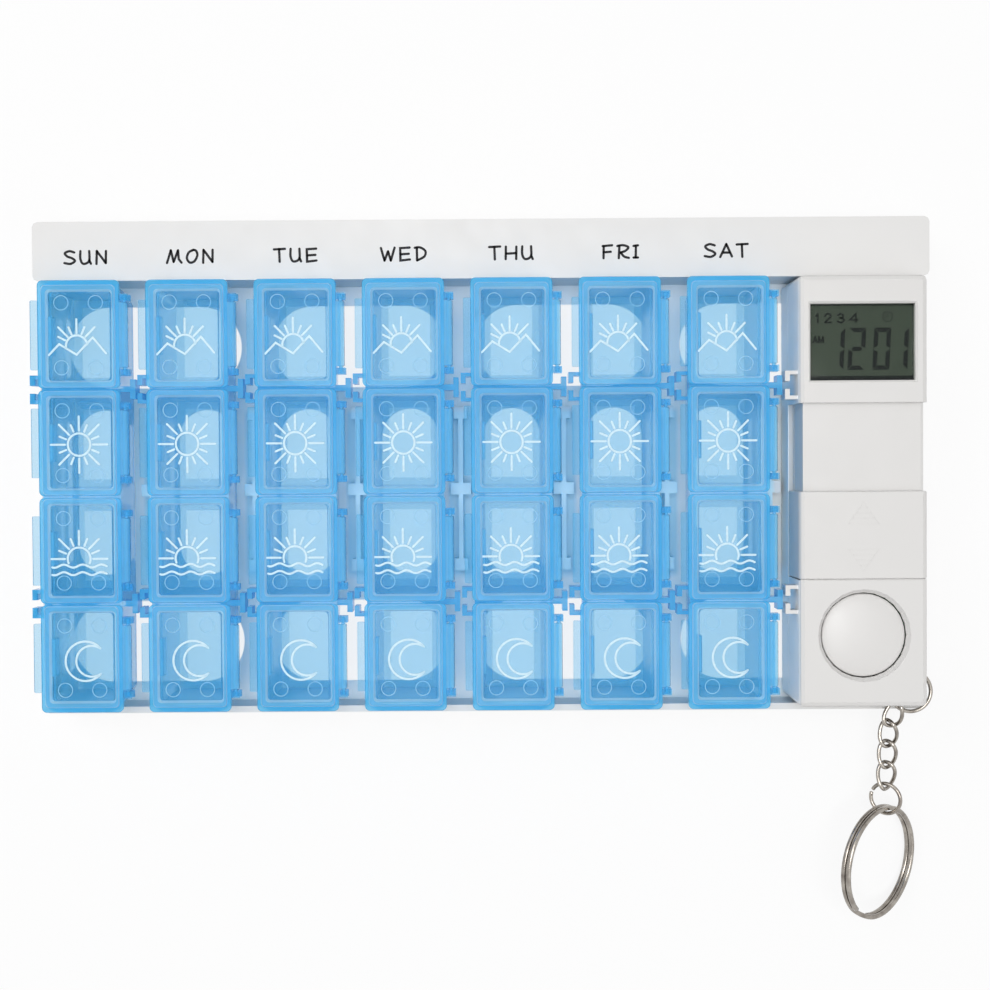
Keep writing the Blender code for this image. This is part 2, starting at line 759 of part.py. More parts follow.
def make_front_shell():
    seam = TIMER_SEAM_Z + GAP / 2
    low_y, high_y = timer_low_y, timer_high_y
    shell = block(
        "timer_front_shell", (timer_left, low_y, seam), (timer_right, high_y, timer_top),
        upright=TIMER_ROUND, rim=TIMER_ROUND,
    )
    track_top = timer_top - TRACK_DROP
    skin_z = timer_top - TIMER_WALL
    track_skin_z = track_top - TRACK_SKIN
    tracks = [block(
        "track", (timer_left - OVERRUN, track_low_y, track_top),
        (timer_right + OVERRUN, track_high_y, timer_top + OVERRUN),
    )]
    core_left = timer_left + TRACK_INSET + TRACK_WALL
    core_right = timer_right - TRACK_INSET - TRACK_WALL
    for edge, side in ((timer_left, 1), (timer_right, -1)):
        outer, inner = edge - side * OVERRUN, edge + side * TRACK_INSET
        tracks.append(block(
            "side", (min(outer, inner), track_low_y, seam - OVERRUN),
            (max(outer, inner), track_high_y, timer_top + OVERRUN),
        ))
    cut(shell, *tracks)
    hollow_foot = seam - OVERRUN
    wall_low, wall_high = low_y + TIMER_WALL, high_y - TIMER_WALL
    left, right = timer_left + TIMER_WALL, timer_right - TIMER_WALL
    hollows = (
        block("hollow", (left, track_high_y + TRACK_WALL, hollow_foot), (right, wall_high, skin_z)),
        block(
            "hollow", (core_left, track_low_y - TRACK_WALL - SINK, hollow_foot),
            (core_right, track_high_y + TRACK_WALL + SINK, track_skin_z),
        ),
        block("hollow", (left, wall_low, hollow_foot), (right, track_low_y - TRACK_WALL, skin_z)),
    )
    cut(shell, *hollows)
    eye_block = block(
        "eye_block", (eye_left - EYE_SIDE_SKIN, low_y + TIMER_WALL / 2, eye_low_z - EYE_FOOT_SKIN),
        (timer_right - TIMER_WALL / 2, low_y + EYE_BLOCK_DEPTH, eye_high_z + EYE_TOP_SKIN),
    )
    claws = [
        claw_parts(timer_left, CLAW_REACH, box_centre_y + side * row_pitch, BOX_RIM_Z - CLIP_TOP_DROP)
        for side in (-1, 1)
    ]
    bosses = []
    boss_x = board_width / 2 - BOSS_INSET
    boss_places = ((board_high_y - BOSS_END_INSET, skin_z), (track_low_y + BOSS_TO_TRACK, track_skin_z))
    for side in (-1, 1):
        for y, plate in boss_places:
            foot = board_top_z + GAP
            bosses.append(drum(
                "boss", (timer_x + side * boss_x, y, (foot + plate + 2 * SINK) / 2), BOSS_RADIUS,
                plate + 2 * SINK - foot, sides=8,
            ))
    join(shell, eye_block, *claws, *bosses)
    eye = block(
        "eye", (eye_left, low_y - OVERRUN, eye_low_z), (eye_right, low_y + EYE_DEPTH, eye_high_z)
    )
    ring_path = circle_points(CORNER_RING_RADIUS, CORNER_RING_STEPS)
    channel = wire("channel", ring_path, WIRE / 2 + CHANNEL_CLEARANCE, closed=True)
    channel.data.transform(Matrix.Translation(corner_ring_centre))
    window_x, window_y = DISPLAY_WIDTH / 2, DISPLAY_LENGTH / 2
    window = block(
        "window", (display_x - window_x, display_y - window_y, skin_z - OVERRUN),
        (display_x + window_x, display_y + window_y, timer_top + OVERRUN),
    )
    frame_x, frame_y = window_x + DISPLAY_CHAMFER, window_y + DISPLAY_CHAMFER
    frame = block(
        "frame", (display_x - frame_x, display_y - frame_y, timer_top - DISPLAY_CHAMFER),
        (display_x + frame_x, display_y + frame_y, timer_top), draft=DISPLAY_CHAMFER,
    )
    button_hole = drum(
        "button_hole", (alarm_x, alarm_y, timer_top), ALARM_RADIUS + GAP, 2 * (TIMER_WALL + OVERRUN), sides=24
    )
    well = drum(
        "well", (alarm_x, alarm_y, timer_top - WELL_DEPTH / 2 + SINK), ALARM_RADIUS + GAP,
        WELL_DEPTH + 2 * SINK, sides=24, top_radius=well_radius,
    )
    set_holes = [
        drum("set_hole", (x, y, track_top), SET_RADIUS + GAP, 2 * (TRACK_SKIN + OVERRUN), sides=12)
        for x, y in set_button_places()
    ]
    rails = []
    rail_low_z = TIMER_SEAM_Z + RAIL_RISE
    for edge, side in ((timer_left, 1), (timer_right, -1)):
        face = edge + side * TRACK_INSET
        outer, inner = face - side * SINK, face + side * RAIL_DEPTH
        rails.append(block(
            "rail", (min(outer, inner), track_low_y, rail_low_z),
            (max(outer, inner), track_high_y, rail_low_z + RAIL_HEIGHT),
        ))
    cut(shell, eye, channel, frame, window, button_hole, well, *set_holes, *rails)
    return smooth(dress(shell, white_plastic))


def make_back_shell():
    foot = back_foot_z
    seam = TIMER_SEAM_Z - GAP / 2
    shell = block(
        "timer_back_shell", (timer_left, timer_low_y, foot), (timer_right, timer_high_y, seam),
        upright=TIMER_ROUND, foot=TIMER_ROUND,
    )
    cut(shell, block(
        "hollow", (timer_left + TIMER_WALL, timer_low_y + TIMER_WALL, foot + BACK_FLOOR),
        (timer_right - TIMER_WALL, timer_high_y - TIMER_WALL, seam + OVERRUN),
    ))
    door_low, door_high = door_ends()
    half = door_width / 2 + GAP
    tongue_z = foot + DOOR_TONGUE_RISE
    opening = block(
        "opening", (timer_x - half, door_low - GAP, foot - OVERRUN),
        (timer_x + half, door_high + DOOR_TRAVEL + GAP, foot + BACK_FLOOR + OVERRUN),
    )
    groove = block(
        "groove", (timer_x - half - DOOR_TONGUE, door_low - GAP, tongue_z - GAP),
        (timer_x + half + DOOR_TONGUE, door_high + DOOR_TRAVEL + GAP, tongue_z + DOOR_TONGUE_THICKNESS + GAP),
    )
    cut(shell, opening, groove)
    walls = []
    for low in (battery_low_y - contact_space - BAY_WALL, battery_high_y + contact_space):
        walls.append(block(
            "bay_wall", (timer_left + TIMER_WALL - SINK, low, foot + BACK_FLOOR - SINK / 2),
            (timer_right - TIMER_WALL + SINK, low + BAY_WALL, TIMER_SEAM_Z - BAY_WALL_DROP),
        ))
    join(shell, *walls)
    return smooth(dress(shell, white_plastic))


def door_ends():
    low = battery_low_y - GAP
    return low, low + BATTERY_LENGTH - DOOR_SHORTFALL


def make_battery_door():
    foot = back_foot_z
    low, high = door_ends()
    half = door_width / 2
    door = block("battery_door", (timer_x - half, low, foot), (timer_x + half, high, foot + DOOR_THICKNESS))
    tongue_z = foot + DOOR_TONGUE_RISE
    tongues = block(
        "tongues", (timer_x - half - DOOR_TONGUE, low + TIMER_WALL, tongue_z),
        (timer_x + half + DOOR_TONGUE, high - TIMER_WALL, tongue_z + DOOR_TONGUE_THICKNESS),
    )
    join(door, tongues)
    grips = []
    for step in range(GRIP_COUNT):
        grip_low = high - (step + 2) * GRIP_PITCH
        grips.append(block(
            "grip", (timer_x - half / 2, grip_low, foot - OVERRUN),
            (timer_x + half / 2, grip_low + GRIP_WIDTH, foot + GRIP_DEPTH),
        ))
    cut(door, *grips)
    return dress(door, white_plastic)


def make_battery(name, side):
    radius = BATTERY_RADIUS
    z = battery_z
    length = BATTERY_LENGTH - BATTERY_TIP
    low = battery_low_y if side < 0 else battery_low_y + BATTERY_TIP
    x = timer_x + side * BATTERY_SPACING / 2
    can = drum(name, (x, low + length / 2, z), radius, length, axis="Y", sides=20)
    tip_y = low + length + (BATTERY_TIP - SINK) / 2 if side < 0 else low - (BATTERY_TIP - SINK) / 2
    join(can, drum("tip", (x, tip_y, z), BATTERY_TIP_RADIUS, BATTERY_TIP + SINK, axis="Y", sides=12))
    return smooth(dress(can, battery_wrap))


def make_contact(name, low_y):
    z = back_foot_z + BACK_FLOOR + GAP
    half = battery_pair_width / 2 - CONTACT_INSET
    return dress(block(
        name, (timer_x - half, low_y, z), (timer_x + half, low_y + CONTACT_THICKNESS, z + CONTACT_HEIGHT),
    ), nickel)


def make_cover():
    """The slide cover: a cap whose skirts hook into the rails at both sides of the track."""
    low_y = track_low_y + GAP
    high_y = low_y + COVER_LENGTH
    foot_z = TIMER_SEAM_Z + COVER_RISE
    hook_z = TIMER_SEAM_Z + RAIL_RISE
    cover = block("slide_cover", (timer_left, low_y, foot_z), (timer_right, high_y, timer_top))
    builder = bmesh.new()
    builder.from_mesh(cover.data)
    ridges = [
        edge for edge in builder.edges
        if all(abs(corner.co.z - timer_top) < MERGE for corner in edge.verts)
        and abs(edge.verts[0].co.x - edge.verts[1].co.x) < MERGE
    ]
    round_edges(builder, ridges, TIMER_ROUND, 2)
    builder.to_mesh(cover.data)
    builder.free()
    inner_left = timer_left + COVER_SKIRT
    inner_right = timer_right - COVER_SKIRT
    cut(cover, block(
        "inside", (inner_left, low_y - OVERRUN, foot_z - OVERRUN),
        (inner_right, high_y + OVERRUN, timer_top - TRACK_DROP + GAP),
    ))
    hooks = [
        block(
            "hook", (left, low_y, hook_z + GAP),
            (left + COVER_HOOK + SINK, high_y, hook_z + RAIL_HEIGHT - GAP),
        )
        for left in (inner_left - SINK, inner_right - COVER_HOOK)
    ]
    join(cover, *hooks)
    return smooth(dress(cover, white_plastic))


def make_display():
    skin_z = timer_top - TIMER_WALL
    lens_x, lens_y = DISPLAY_WIDTH / 2 - GAP, DISPLAY_LENGTH / 2 - GAP
    lens_top = timer_top - LENS_DROP
    lens = block(
        "display_lens", (display_x - lens_x, display_y - lens_y, lens_top - LENS_THICKNESS),
        (display_x + lens_x, display_y + lens_y, lens_top),
    )
    half_x, half_y = module_width / 2, DISPLAY_LENGTH / 2 + MODULE_END_LAP
    module_top = skin_z - GAP
    module = block(
        "display_module", (timer_x - half_x, display_y - half_y, module_top - MODULE_THICKNESS),
        (timer_x + half_x, display_y + half_y, module_top),
    )
    strip_y = display_y - STRIP_SHIFT
    strip_x = module_width / 2 - STRIP_INSET
    strip = block(
        "contact_strip", (timer_x - strip_x, strip_y - STRIP_DEPTH / 2, board_top_z + GAP),
        (timer_x + strip_x, strip_y + STRIP_DEPTH / 2, module_top - MODULE_THICKNESS - GAP),
    )
    return [dress(lens, lens_clear), dress(module, display_glass), dress(strip, rubber)]


def set_button_places():
    y = track_low_y + GAP + COVER_LENGTH / 2
    return [(timer_x + step * SET_PITCH, y) for step in (-1, 0, 1)]


def make_board():
    half = board_width / 2
    board = block(
        "circuit_board", (timer_x - half, board_low_y, board_top_z - BOARD_THICKNESS),
        (timer_x + half, board_high_y, board_top_z),
    )
    size = SWITCH_SIZE / 2
    foot, top = board_top_z - SINK, board_top_z + SWITCH_HEIGHT
    switches = [
        block("switch", (x - size, y - size, foot), (x + size, y + size, top))
        for x, y in [*set_button_places(), (alarm_x, alarm_y)]
    ]
    return dress(join(board, *switches), board_green)


def make_buzzer():
    top = board_top_z - BOARD_THICKNESS - GAP
    middle = (timer_x, buzzer_y, top - BUZZER_HEIGHT / 2)
    buzzer = drum("buzzer", middle, BUZZER_RADIUS, BUZZER_HEIGHT, sides=20)
    cut(buzzer, drum(
        "port", (timer_x, buzzer_y, top - BUZZER_HEIGHT), BUZZER_PORT_RADIUS, 2 * BUZZER_PORT_DEPTH, sides=8
    ))
    return smooth(dress(buzzer, rubber))


def make_alarm_button():
    """The round dome: a crown, a skirt, a flange under the plate, and a stem above its switch."""
    top = timer_top - ALARM_DROP
    plate = timer_top - TIMER_WALL
    flange_top = plate - GAP
    flange_foot = flange_top - ALARM_FLANGE_THICKNESS
    shoulder = top - ALARM_CROWN
    crown_steps = 4
    crown = []
    for step in range(crown_steps + 1):
        turn = math.radians(90.0 * step / crown_steps)
        crown.append((ALARM_RADIUS * math.sin(turn), shoulder + ALARM_CROWN * math.cos(turn)))
    crown[0] = (0.0, top)
    crown[-1] = (ALARM_RADIUS, shoulder)
    rest = [
        (ALARM_RADIUS, flange_top), (ALARM_RADIUS + ALARM_FLANGE, flange_top),
        (ALARM_RADIUS + ALARM_FLANGE, flange_foot), (ALARM_STEM_RADIUS, flange_foot),
        (ALARM_STEM_RADIUS, flange_foot - ALARM_STEM), (0.0, flange_foot - ALARM_STEM),
    ]
    button = turned("alarm_button", crown + rest, (alarm_x, alarm_y, 0.0), sides=24)
    return smooth(dress(button, white_plastic))


def make_set_button(name, x, y):
    top = timer_top - TRACK_DROP - SET_DROP
    lip_top = timer_top - TRACK_DROP - TRACK_SKIN - SET_LIP_GAP
    lip_foot = lip_top - SET_LIP_THICKNESS
    profile = [
        (0.0, top), (SET_RADIUS - SET_CHAMFER, top), (SET_RADIUS, top - SET_CHAMFER), (SET_RADIUS, lip_top),
        (SET_RADIUS + SET_LIP, lip_top), (SET_RADIUS + SET_LIP, lip_foot), (0.0, lip_foot),
    ]
    return smooth(dress(turned(name, profile, (x, y, 0.0), sides=12), button_grey))


def place_timer():
    timer = empty("timer", (timer_x, timer_y, back_foot_z))
    fixed = [
        make_front_shell(), make_back_shell(), make_board(), make_buzzer(), *make_display(),
        make_battery("battery_1", -1), make_battery("battery_2", 1),
        make_contact("battery_contact_front", battery_low_y - GAP - CONTACT_THICKNESS),
        make_contact("battery_contact_rear", battery_high_y + GAP),
    ]
    for piece in fixed:
        set_origin(piece, timer.location, timer)
    set_origin(make_cover(), (timer_x, track_low_y + GAP, timer_top), timer)
    set_origin(make_battery_door(), (timer_x, door_ends()[0], back_foot_z), timer)
    set_origin(make_alarm_button(), (alarm_x, alarm_y, timer_top), timer)
    for number, (x, y) in enumerate(set_button_places(), start=1):
        set_origin(make_set_button(f"set_button_{number}", x, y), (x, y, timer_top - TRACK_DROP), timer)
    return timer


# Key chain

def circle_points(radius, count):
    turns = [2 * math.pi * index / count for index in range(count)]
    return [(radius * math.cos(turn), radius * math.sin(turn), 0.0) for turn in turns]


def signed_power(value, power):
    return math.copysign(abs(value) ** power, value)


def link_points(count=16):
    """Centre line of a twisted link, from the pivot on its neighbour's wire. It runs towards -Y."""
    half_length = (LINK_LENGTH - WIRE) / 2
    half_width = (LINK_WIDTH - WIRE) / 2
    power = 2 / LINK_SQUARENESS
    points = []
    for index in range(count):
        turn = 2 * math.pi * index / count
        across = half_width * signed_power(math.cos(turn), power)
        along = half_length * signed_power(math.sin(turn), power)
        twist = math.radians(-LINK_TWIST * along / half_length)
        place = along - half_length + WIRE + LINK_GAP
        points.append((across * math.cos(twist), place, across * math.sin(twist)))
    return points


def travel_frame(heading, slope, roll=0.0):
    """Rotation whose -Y axis points along a heading from -Y towards +X, down by a slope."""
    turn = Matrix.Rotation(math.radians(heading), 4, "Z")
    drop = Matrix.Rotation(math.radians(slope), 4, "X")
    return turn @ drop @ Matrix.Rotation(math.radians(roll), 4, "Y")


def place_metal(made, pivot, rotation, parent):
    made.rotation_mode = "QUATERNION"
    made.rotation_quaternion = rotation.to_quaternion()
    made.location = Vector(pivot) - parent.location
    made.parent = parent
    return smooth(dress(made, nickel), angle=60.0)


def split_ring_points(steps_per_turn=19):
    """Centre line of a double coil that jogs up by its pitch halfway. It hangs from its +Y side."""
    points = []
    start, end = SPLIT_START, 720.0 - SPLIT_START
    count = steps_per_turn * 2
    for index in range(count + 1):
        angle = start + (end - start) * index / count
        ramp = min(max((angle - 360.0 + SPLIT_JOG / 2) / SPLIT_JOG, 0.0), 1.0)
        height = SPLIT_PITCH * (ramp * ramp * (3 - 2 * ramp) - 0.5)
        turn = math.radians(angle - 110.0)
        points.append((SPLIT_RADIUS * math.cos(turn), SPLIT_RADIUS * math.sin(turn) - SPLIT_RADIUS, height))
    return points


def place_chain(timer):
    centre = corner_ring_centre
    ring = wire("corner_ring", circle_points(CORNER_RING_RADIUS, CORNER_RING_STEPS), WIRE / 2, closed=True)
    place_metal(ring, centre, Matrix.Identity(4), timer)
    hook = math.radians(HOOK_ANGLE)
    pivot = centre + CORNER_RING_RADIUS * Vector((-math.sin(hook), -math.cos(hook), 0.0))
    step = Vector((0.0, WIRE + LINK_GAP - (LINK_LENGTH - WIRE), 0.0))
    for number, turns in enumerate(zip(LINK_HEADINGS, LINK_SLOPES, LINK_ROLLS), start=1):
        rotation = travel_frame(*turns)
        link = wire(f"chain_link_{number}", link_points(), WIRE / 2, closed=True)
        place_metal(link, pivot, rotation, timer)
        pivot = pivot + rotation.to_3x3() @ step
    rotation = travel_frame(JUMP_HEADING, JUMP_SLOPE, -JUMP_TILT)
    sweep = 360.0 - JUMP_OPENING
    start = JUMP_OPENING_ANGLE + JUMP_OPENING / 2
    arc = [math.radians(start + sweep * index / JUMP_STEPS) for index in range(JUMP_STEPS + 1)]
    jump_shift = WIRE + LINK_GAP - JUMP_RADIUS
    jump_points = [
        (JUMP_RADIUS * math.cos(turn), JUMP_RADIUS * math.sin(turn) + jump_shift, 0.0) for turn in arc
    ]
    place_metal(wire("jump_ring", jump_points, WIRE / 2, closed=False), pivot, rotation, timer)
    inner_side = jump_shift - JUMP_RADIUS + WIRE / 2 + SPLIT_GAP + SPLIT_WIRE / 2
    near_point = pivot + rotation.to_3x3() @ Vector((0.0, inner_side, 0.0))
    rotation = travel_frame(SPLIT_HEADING, -SPLIT_RISE, -SPLIT_TILT)
    ring = wire("split_ring", split_ring_points(), SPLIT_WIRE / 2, closed=False)
    place_metal(ring, near_point, rotation, timer)


clear_scene()
organizer = bpy.data.collections.new("weekly_pill_organizer")
scene_root.children.link(organizer)
white_plastic = material("white_plastic", (0.86, 0.855, 0.84), 0.38)
blue_clear = material("blue_clear", (0.16, 0.52, 0.86), 0.22, alpha=0.62)
lens_clear = material("lens_clear", (0.85, 0.88, 0.86), 0.05, alpha=0.3)
display_glass = material("display_glass", (0.10, 0.13, 0.095), 0.25)
rubber = material("rubber", (0.03, 0.03, 0.03), 0.7)
board_green = material("board_green", (0.03, 0.20, 0.08), 0.5)
battery_wrap = material("battery_wrap", (0.12, 0.13, 0.15), 0.35, metallic=0.6)
button_grey = material("button_grey", (0.45, 0.46, 0.47), 0.5)
nickel = material("nickel", (0.72, 0.70, 0.67), 0.22, metallic=1.0)

smooth(dress(make_tray(), white_plastic))
place_days()
place_chain(place_timer())
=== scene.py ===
import math

import bmesh
import bpy
from mathutils import Matrix, Vector


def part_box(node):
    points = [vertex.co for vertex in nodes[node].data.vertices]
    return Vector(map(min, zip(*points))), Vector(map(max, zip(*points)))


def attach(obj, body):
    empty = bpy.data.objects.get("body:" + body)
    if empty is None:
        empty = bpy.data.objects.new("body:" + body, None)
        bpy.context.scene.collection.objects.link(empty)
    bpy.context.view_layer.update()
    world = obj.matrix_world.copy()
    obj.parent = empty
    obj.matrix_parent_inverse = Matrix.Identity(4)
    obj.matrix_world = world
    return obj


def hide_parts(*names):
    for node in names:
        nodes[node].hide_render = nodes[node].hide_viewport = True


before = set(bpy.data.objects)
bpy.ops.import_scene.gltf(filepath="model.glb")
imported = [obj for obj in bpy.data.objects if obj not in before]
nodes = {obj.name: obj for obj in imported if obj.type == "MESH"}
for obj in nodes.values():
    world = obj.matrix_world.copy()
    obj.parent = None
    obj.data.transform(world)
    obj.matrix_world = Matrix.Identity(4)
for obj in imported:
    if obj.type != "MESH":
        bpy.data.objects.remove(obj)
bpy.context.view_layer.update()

MM = 0.001
DAYS = ("SUN", "MON", "TUE", "WED", "THU", "FRI", "SAT")
ROWS = 4
DAY_PITCH = 26.4
FIRST_DAY_X = -97.9
ROW_PITCH = 26.3
BOX_Y = -6.55


def day_x(index):
    return FIRST_DAY_X + index * DAY_PITCH


def row_y(row):
    return BOX_Y + ((ROWS - 1) / 2 - row) * ROW_PITCH


# Materials


def node_tree(name):
    made = bpy.data.materials.new(name)
    made.use_nodes = True
    tree = made.node_tree
    tree.nodes.clear()
    return made, tree


def is_socket(value):
    return isinstance(value, bpy.types.NodeSocket)


def add(tree, kind, **values):
    """Adds a node. Keys with a leading underscore are its own settings, and the others are its sockets."""
    node = tree.nodes.new(kind)
    for key, value in values.items():
        if key.startswith("_"):
            setattr(node, key[1:], value)
            continue
        socket = node.inputs[key.replace("_", " ")]
        if is_socket(value):
            tree.links.new(value, socket)
        elif socket.type == "RGBA" and len(value) == 3:
            socket.default_value = (*value, 1.0)
        else:
            socket.default_value = value
    return node


def coordinates(tree, scale):
    place = add(tree, "ShaderNodeTexCoord")
    return add(tree, "ShaderNodeMapping", Vector=place.outputs["Object"], Scale=scale).outputs["Vector"]


def noise(tree, scale, detail=2.0, stretch=(1.0, 1.0, 1.0)):
    vector = coordinates(tree, stretch)
    node = add(tree, "ShaderNodeTexNoise", Vector=vector, Scale=scale, Detail=detail, Roughness=0.5)
    return node.outputs["Fac"]


def spread(tree, value, low, high, from_low=0.3, from_high=0.7):
    node = add(tree, "ShaderNodeMapRange", Value=value)
    node.inputs["From Min"].default_value = from_low
    node.inputs["From Max"].default_value = from_high
    node.inputs["To Min"].default_value = low
    node.inputs["To Max"].default_value = high
    return node.outputs["Result"]


def rises(tree, value, start, end):
    """0 up to the start and 1 from the end on, both in millimetres."""
    return spread(tree, value, 0.0, 1.0, start * MM, end * MM)


def falls(tree, value, start, end):
    """1 up to the start and 0 from the end on, both in millimetres."""
    return spread(tree, value, 1.0, 0.0, start * MM, end * MM)


def calculate(tree, operation, first, second=0.0):
    node = add(tree, "ShaderNodeMath", _operation=operation)
    for socket, value in zip(node.inputs, (first, second)):
        if is_socket(value):
            tree.links.new(value, socket)
        else:
            socket.default_value = value
    return node.outputs[0]


def times(tree, *factors):
    found = factors[0]
    for factor in factors[1:]:
        found = calculate(tree, "MULTIPLY", found, factor)
    return found


def highest(tree, *values):
    found = values[0]
    for value in values[1:]:
        found = calculate(tree, "MAXIMUM", found, value)
    return found


def distance(tree, value, middle):
    """How far a coordinate is from a middle, which is given in millimetres."""
    return calculate(tree, "ABSOLUTE", calculate(tree, "SUBTRACT", value, middle * MM))


def blend_colour(tree, factor, first, second):
    node = tree.nodes.new("ShaderNodeMix")
    node.data_type = "RGBA"
    colours = [socket for socket in node.inputs if socket.type == "RGBA"]
    if is_socket(factor):
        tree.links.new(factor, node.inputs[0])
    else:
        node.inputs[0].default_value = factor
    for socket, value in zip(colours, (first, second)):
        if is_socket(value):
            tree.links.new(value, socket)
        else:
            socket.default_value = (*value, 1.0)
    return [socket for socket in node.outputs if socket.type == "RGBA"][0]


def mix_shaders(tree, share, first, second):
    node = add(tree, "ShaderNodeMixShader", Fac=share)
    for socket, value in zip(node.inputs[1:], (first, second)):
        tree.links.new(value.outputs[0], socket)
    return node


def part_of(tree, output, axis):
    """One coordinate of a place or of a surface's direction, in the object's own axes."""
    source = add(tree, "ShaderNodeTexCoord").outputs[output]
    return add(tree, "ShaderNodeSeparateXYZ", Vector=source).outputs[axis]


def finished(made, tree, surface):
    add(tree, "ShaderNodeOutputMaterial", Surface=surface.outputs[0])
    return made


def bump(tree, height, strength, distance):
    return add(tree, "ShaderNodeBump", Height=height, Strength=strength, Distance=distance).outputs["Normal"]


def moulded(
    name, colour, roughness=0.4, grain=0.12, shade=0.03, grain_scale=2600.0, specular=0.45, zones=None,
):
    """Moulded plastic: faint mottling, a fine spark-eroded grain and slightly uneven gloss."""
    made, tree = node_tree(name)
    if zones:
        colour = zones(tree, colour)
        darker = blend_colour(tree, shade, colour, (0.0, 0.0, 0.0))
    else:
        darker = tuple(channel * (1.0 - shade) for channel in colour)
    tone = blend_colour(tree, noise(tree, 42.0, 3.0), darker, colour)
    gloss = spread(tree, noise(tree, 160.0, 3.0), roughness - 0.05, roughness + 0.06)
    normal = bump(tree, noise(tree, grain_scale, 2.0), grain, 0.00002)
    body = add(tree, "ShaderNodeBsdfPrincipled", Base_Color=tone, Roughness=gloss, Normal=normal)
    body.inputs["Specular IOR Level"].default_value = specular
    return finished(made, tree, body)


BLUE_SHINE = 1.12
BOX_FLOOR_TOP = 3.9
BOX_FLOOR_FADE = 0.3
FLOOR_SHARE = 0.05
BOX_HALF_WIDTH = 9.7
CLIP_HALF_LENGTH = 3.4
CLIP_TOP = 24.0
CLIP_SHARE = 0.42
EAR_SHARE = 0.4
BORDER = 0.1
GLOW_SHARE = 0.35
PANEL_TINT = (0.86, 0.938, 0.98)
RIM_TINT = (0.78, 0.95, 1.0)
SLANT_START = 0.42
SLANT_END = 0.8


def level_share(tree):
    """1 on faces that look up or down, and 0 on upright ones."""
    size = calculate(tree, "ABSOLUTE", part_of(tree, "Normal", "Z"))
    return spread(tree, size, 0.0, 1.0, 0.5, 0.9)


def opposite(tree, value):
    return spread(tree, value, 1.0, 0.0, 0.0, 1.0)


def beside_middle(tree, start, end):
    """0 near the middle line of a day column, and 1 further to its sides than the end in millimetres."""
    columns_left = 5.5
    first = (FIRST_DAY_X - columns_left * DAY_PITCH) * MM
    turned = calculate(tree, "SUBTRACT", part_of(tree, "Object", "X"), first)
    turned = calculate(tree, "MODULO", turned, DAY_PITCH * MM)
    return rises(tree, distance(tree, turned, DAY_PITCH / 2), start, end)


def on_clips(tree):
    """1 on the claws and bars that join the day boxes, which stand out from their sides near two borders."""
    along = distance(tree, part_of(tree, "Object", "Y"), BOX_Y)
    near = falls(tree, distance(tree, along, ROW_PITCH), CLIP_HALF_LENGTH, CLIP_HALF_LENGTH + BORDER)
    return times(tree, beside_middle(tree, BOX_HALF_WIDTH, BOX_HALF_WIDTH + BORDER), near)


def on_ears(tree):
    """1 on the hinge ears, which stand out from the boxes' sides above the clips."""
    beside = beside_middle(tree, BOX_HALF_WIDTH, BOX_HALF_WIDTH + BORDER)
    return times(tree, beside, rises(tree, part_of(tree, "Object", "Z"), CLIP_TOP + 0.02, CLIP_TOP + 0.06))


def clear_blue(name, tint, colour, upright, level, roughness=0.16, wave=0.25, box=False, slant=0.0):
    """Dyed clear plastic: a share of dyed body over a tinted see-through one, under a glossy skin.

    A wall seen along its length shows more of its dye, by the slant share.
    """
    made, tree = node_tree(name)
    cloud = noise(tree, 70.0, 2.0)
    deeper = (colour[0] * 0.85, colour[1] * 0.95, colour[2])
    tone = blend_colour(tree, cloud, deeper, colour)
    normal = bump(tree, noise(tree, 420.0, 3.0), wave, 0.00003)
    skin = add(tree, "ShaderNodeBsdfDiffuse", Color=tone, Normal=normal)
    glow = add(tree, "ShaderNodeBsdfTranslucent", Color=tone, Normal=normal)
    body = mix_shaders(tree, GLOW_SHARE, skin, glow)
    dye = spread(tree, level_share(tree), upright, level, 0.0, 1.0)
    share = times(tree, dye, spread(tree, cloud, 0.9, 1.1))
    if slant:
        facing = add(tree, "ShaderNodeLayerWeight", Blend=0.5).outputs["Facing"]
        along = spread(tree, facing, 0.0, slant, SLANT_START, SLANT_END)
        along = times(tree, along, opposite(tree, level_share(tree)))
        share = highest(tree, share, along)
    if box:
        floor = falls(tree, part_of(tree, "Object", "Z"), BOX_FLOOR_TOP - BOX_FLOOR_FADE, BOX_FLOOR_TOP)
        tint = blend_colour(tree, floor, tint, PANEL_TINT)
        share = times(tree, share, spread(tree, floor, 1.0, FLOOR_SHARE, 0.0, 1.0))
        ears = on_ears(tree)
        share = times(tree, share, spread(tree, ears, 1.0, EAR_SHARE, 0.0, 1.0))
        clips = times(tree, on_clips(tree), opposite(tree, ears))
        share = highest(tree, share, spread(tree, clips, 0.0, CLIP_SHARE, 0.0, 1.0))
    window = add(tree, "ShaderNodeBsdfTransparent", Color=tint)
    gloss = add(tree, "ShaderNodeBsdfGlossy", Color=(0.95, 0.97, 1.0), Roughness=roughness, Normal=normal)
    edge = add(tree, "ShaderNodeFresnel", IOR=BLUE_SHINE, Normal=normal)
    inner = mix_shaders(tree, share, window, body)
    return finished(made, tree, mix_shaders(tree, edge.outputs[0], inner, gloss))


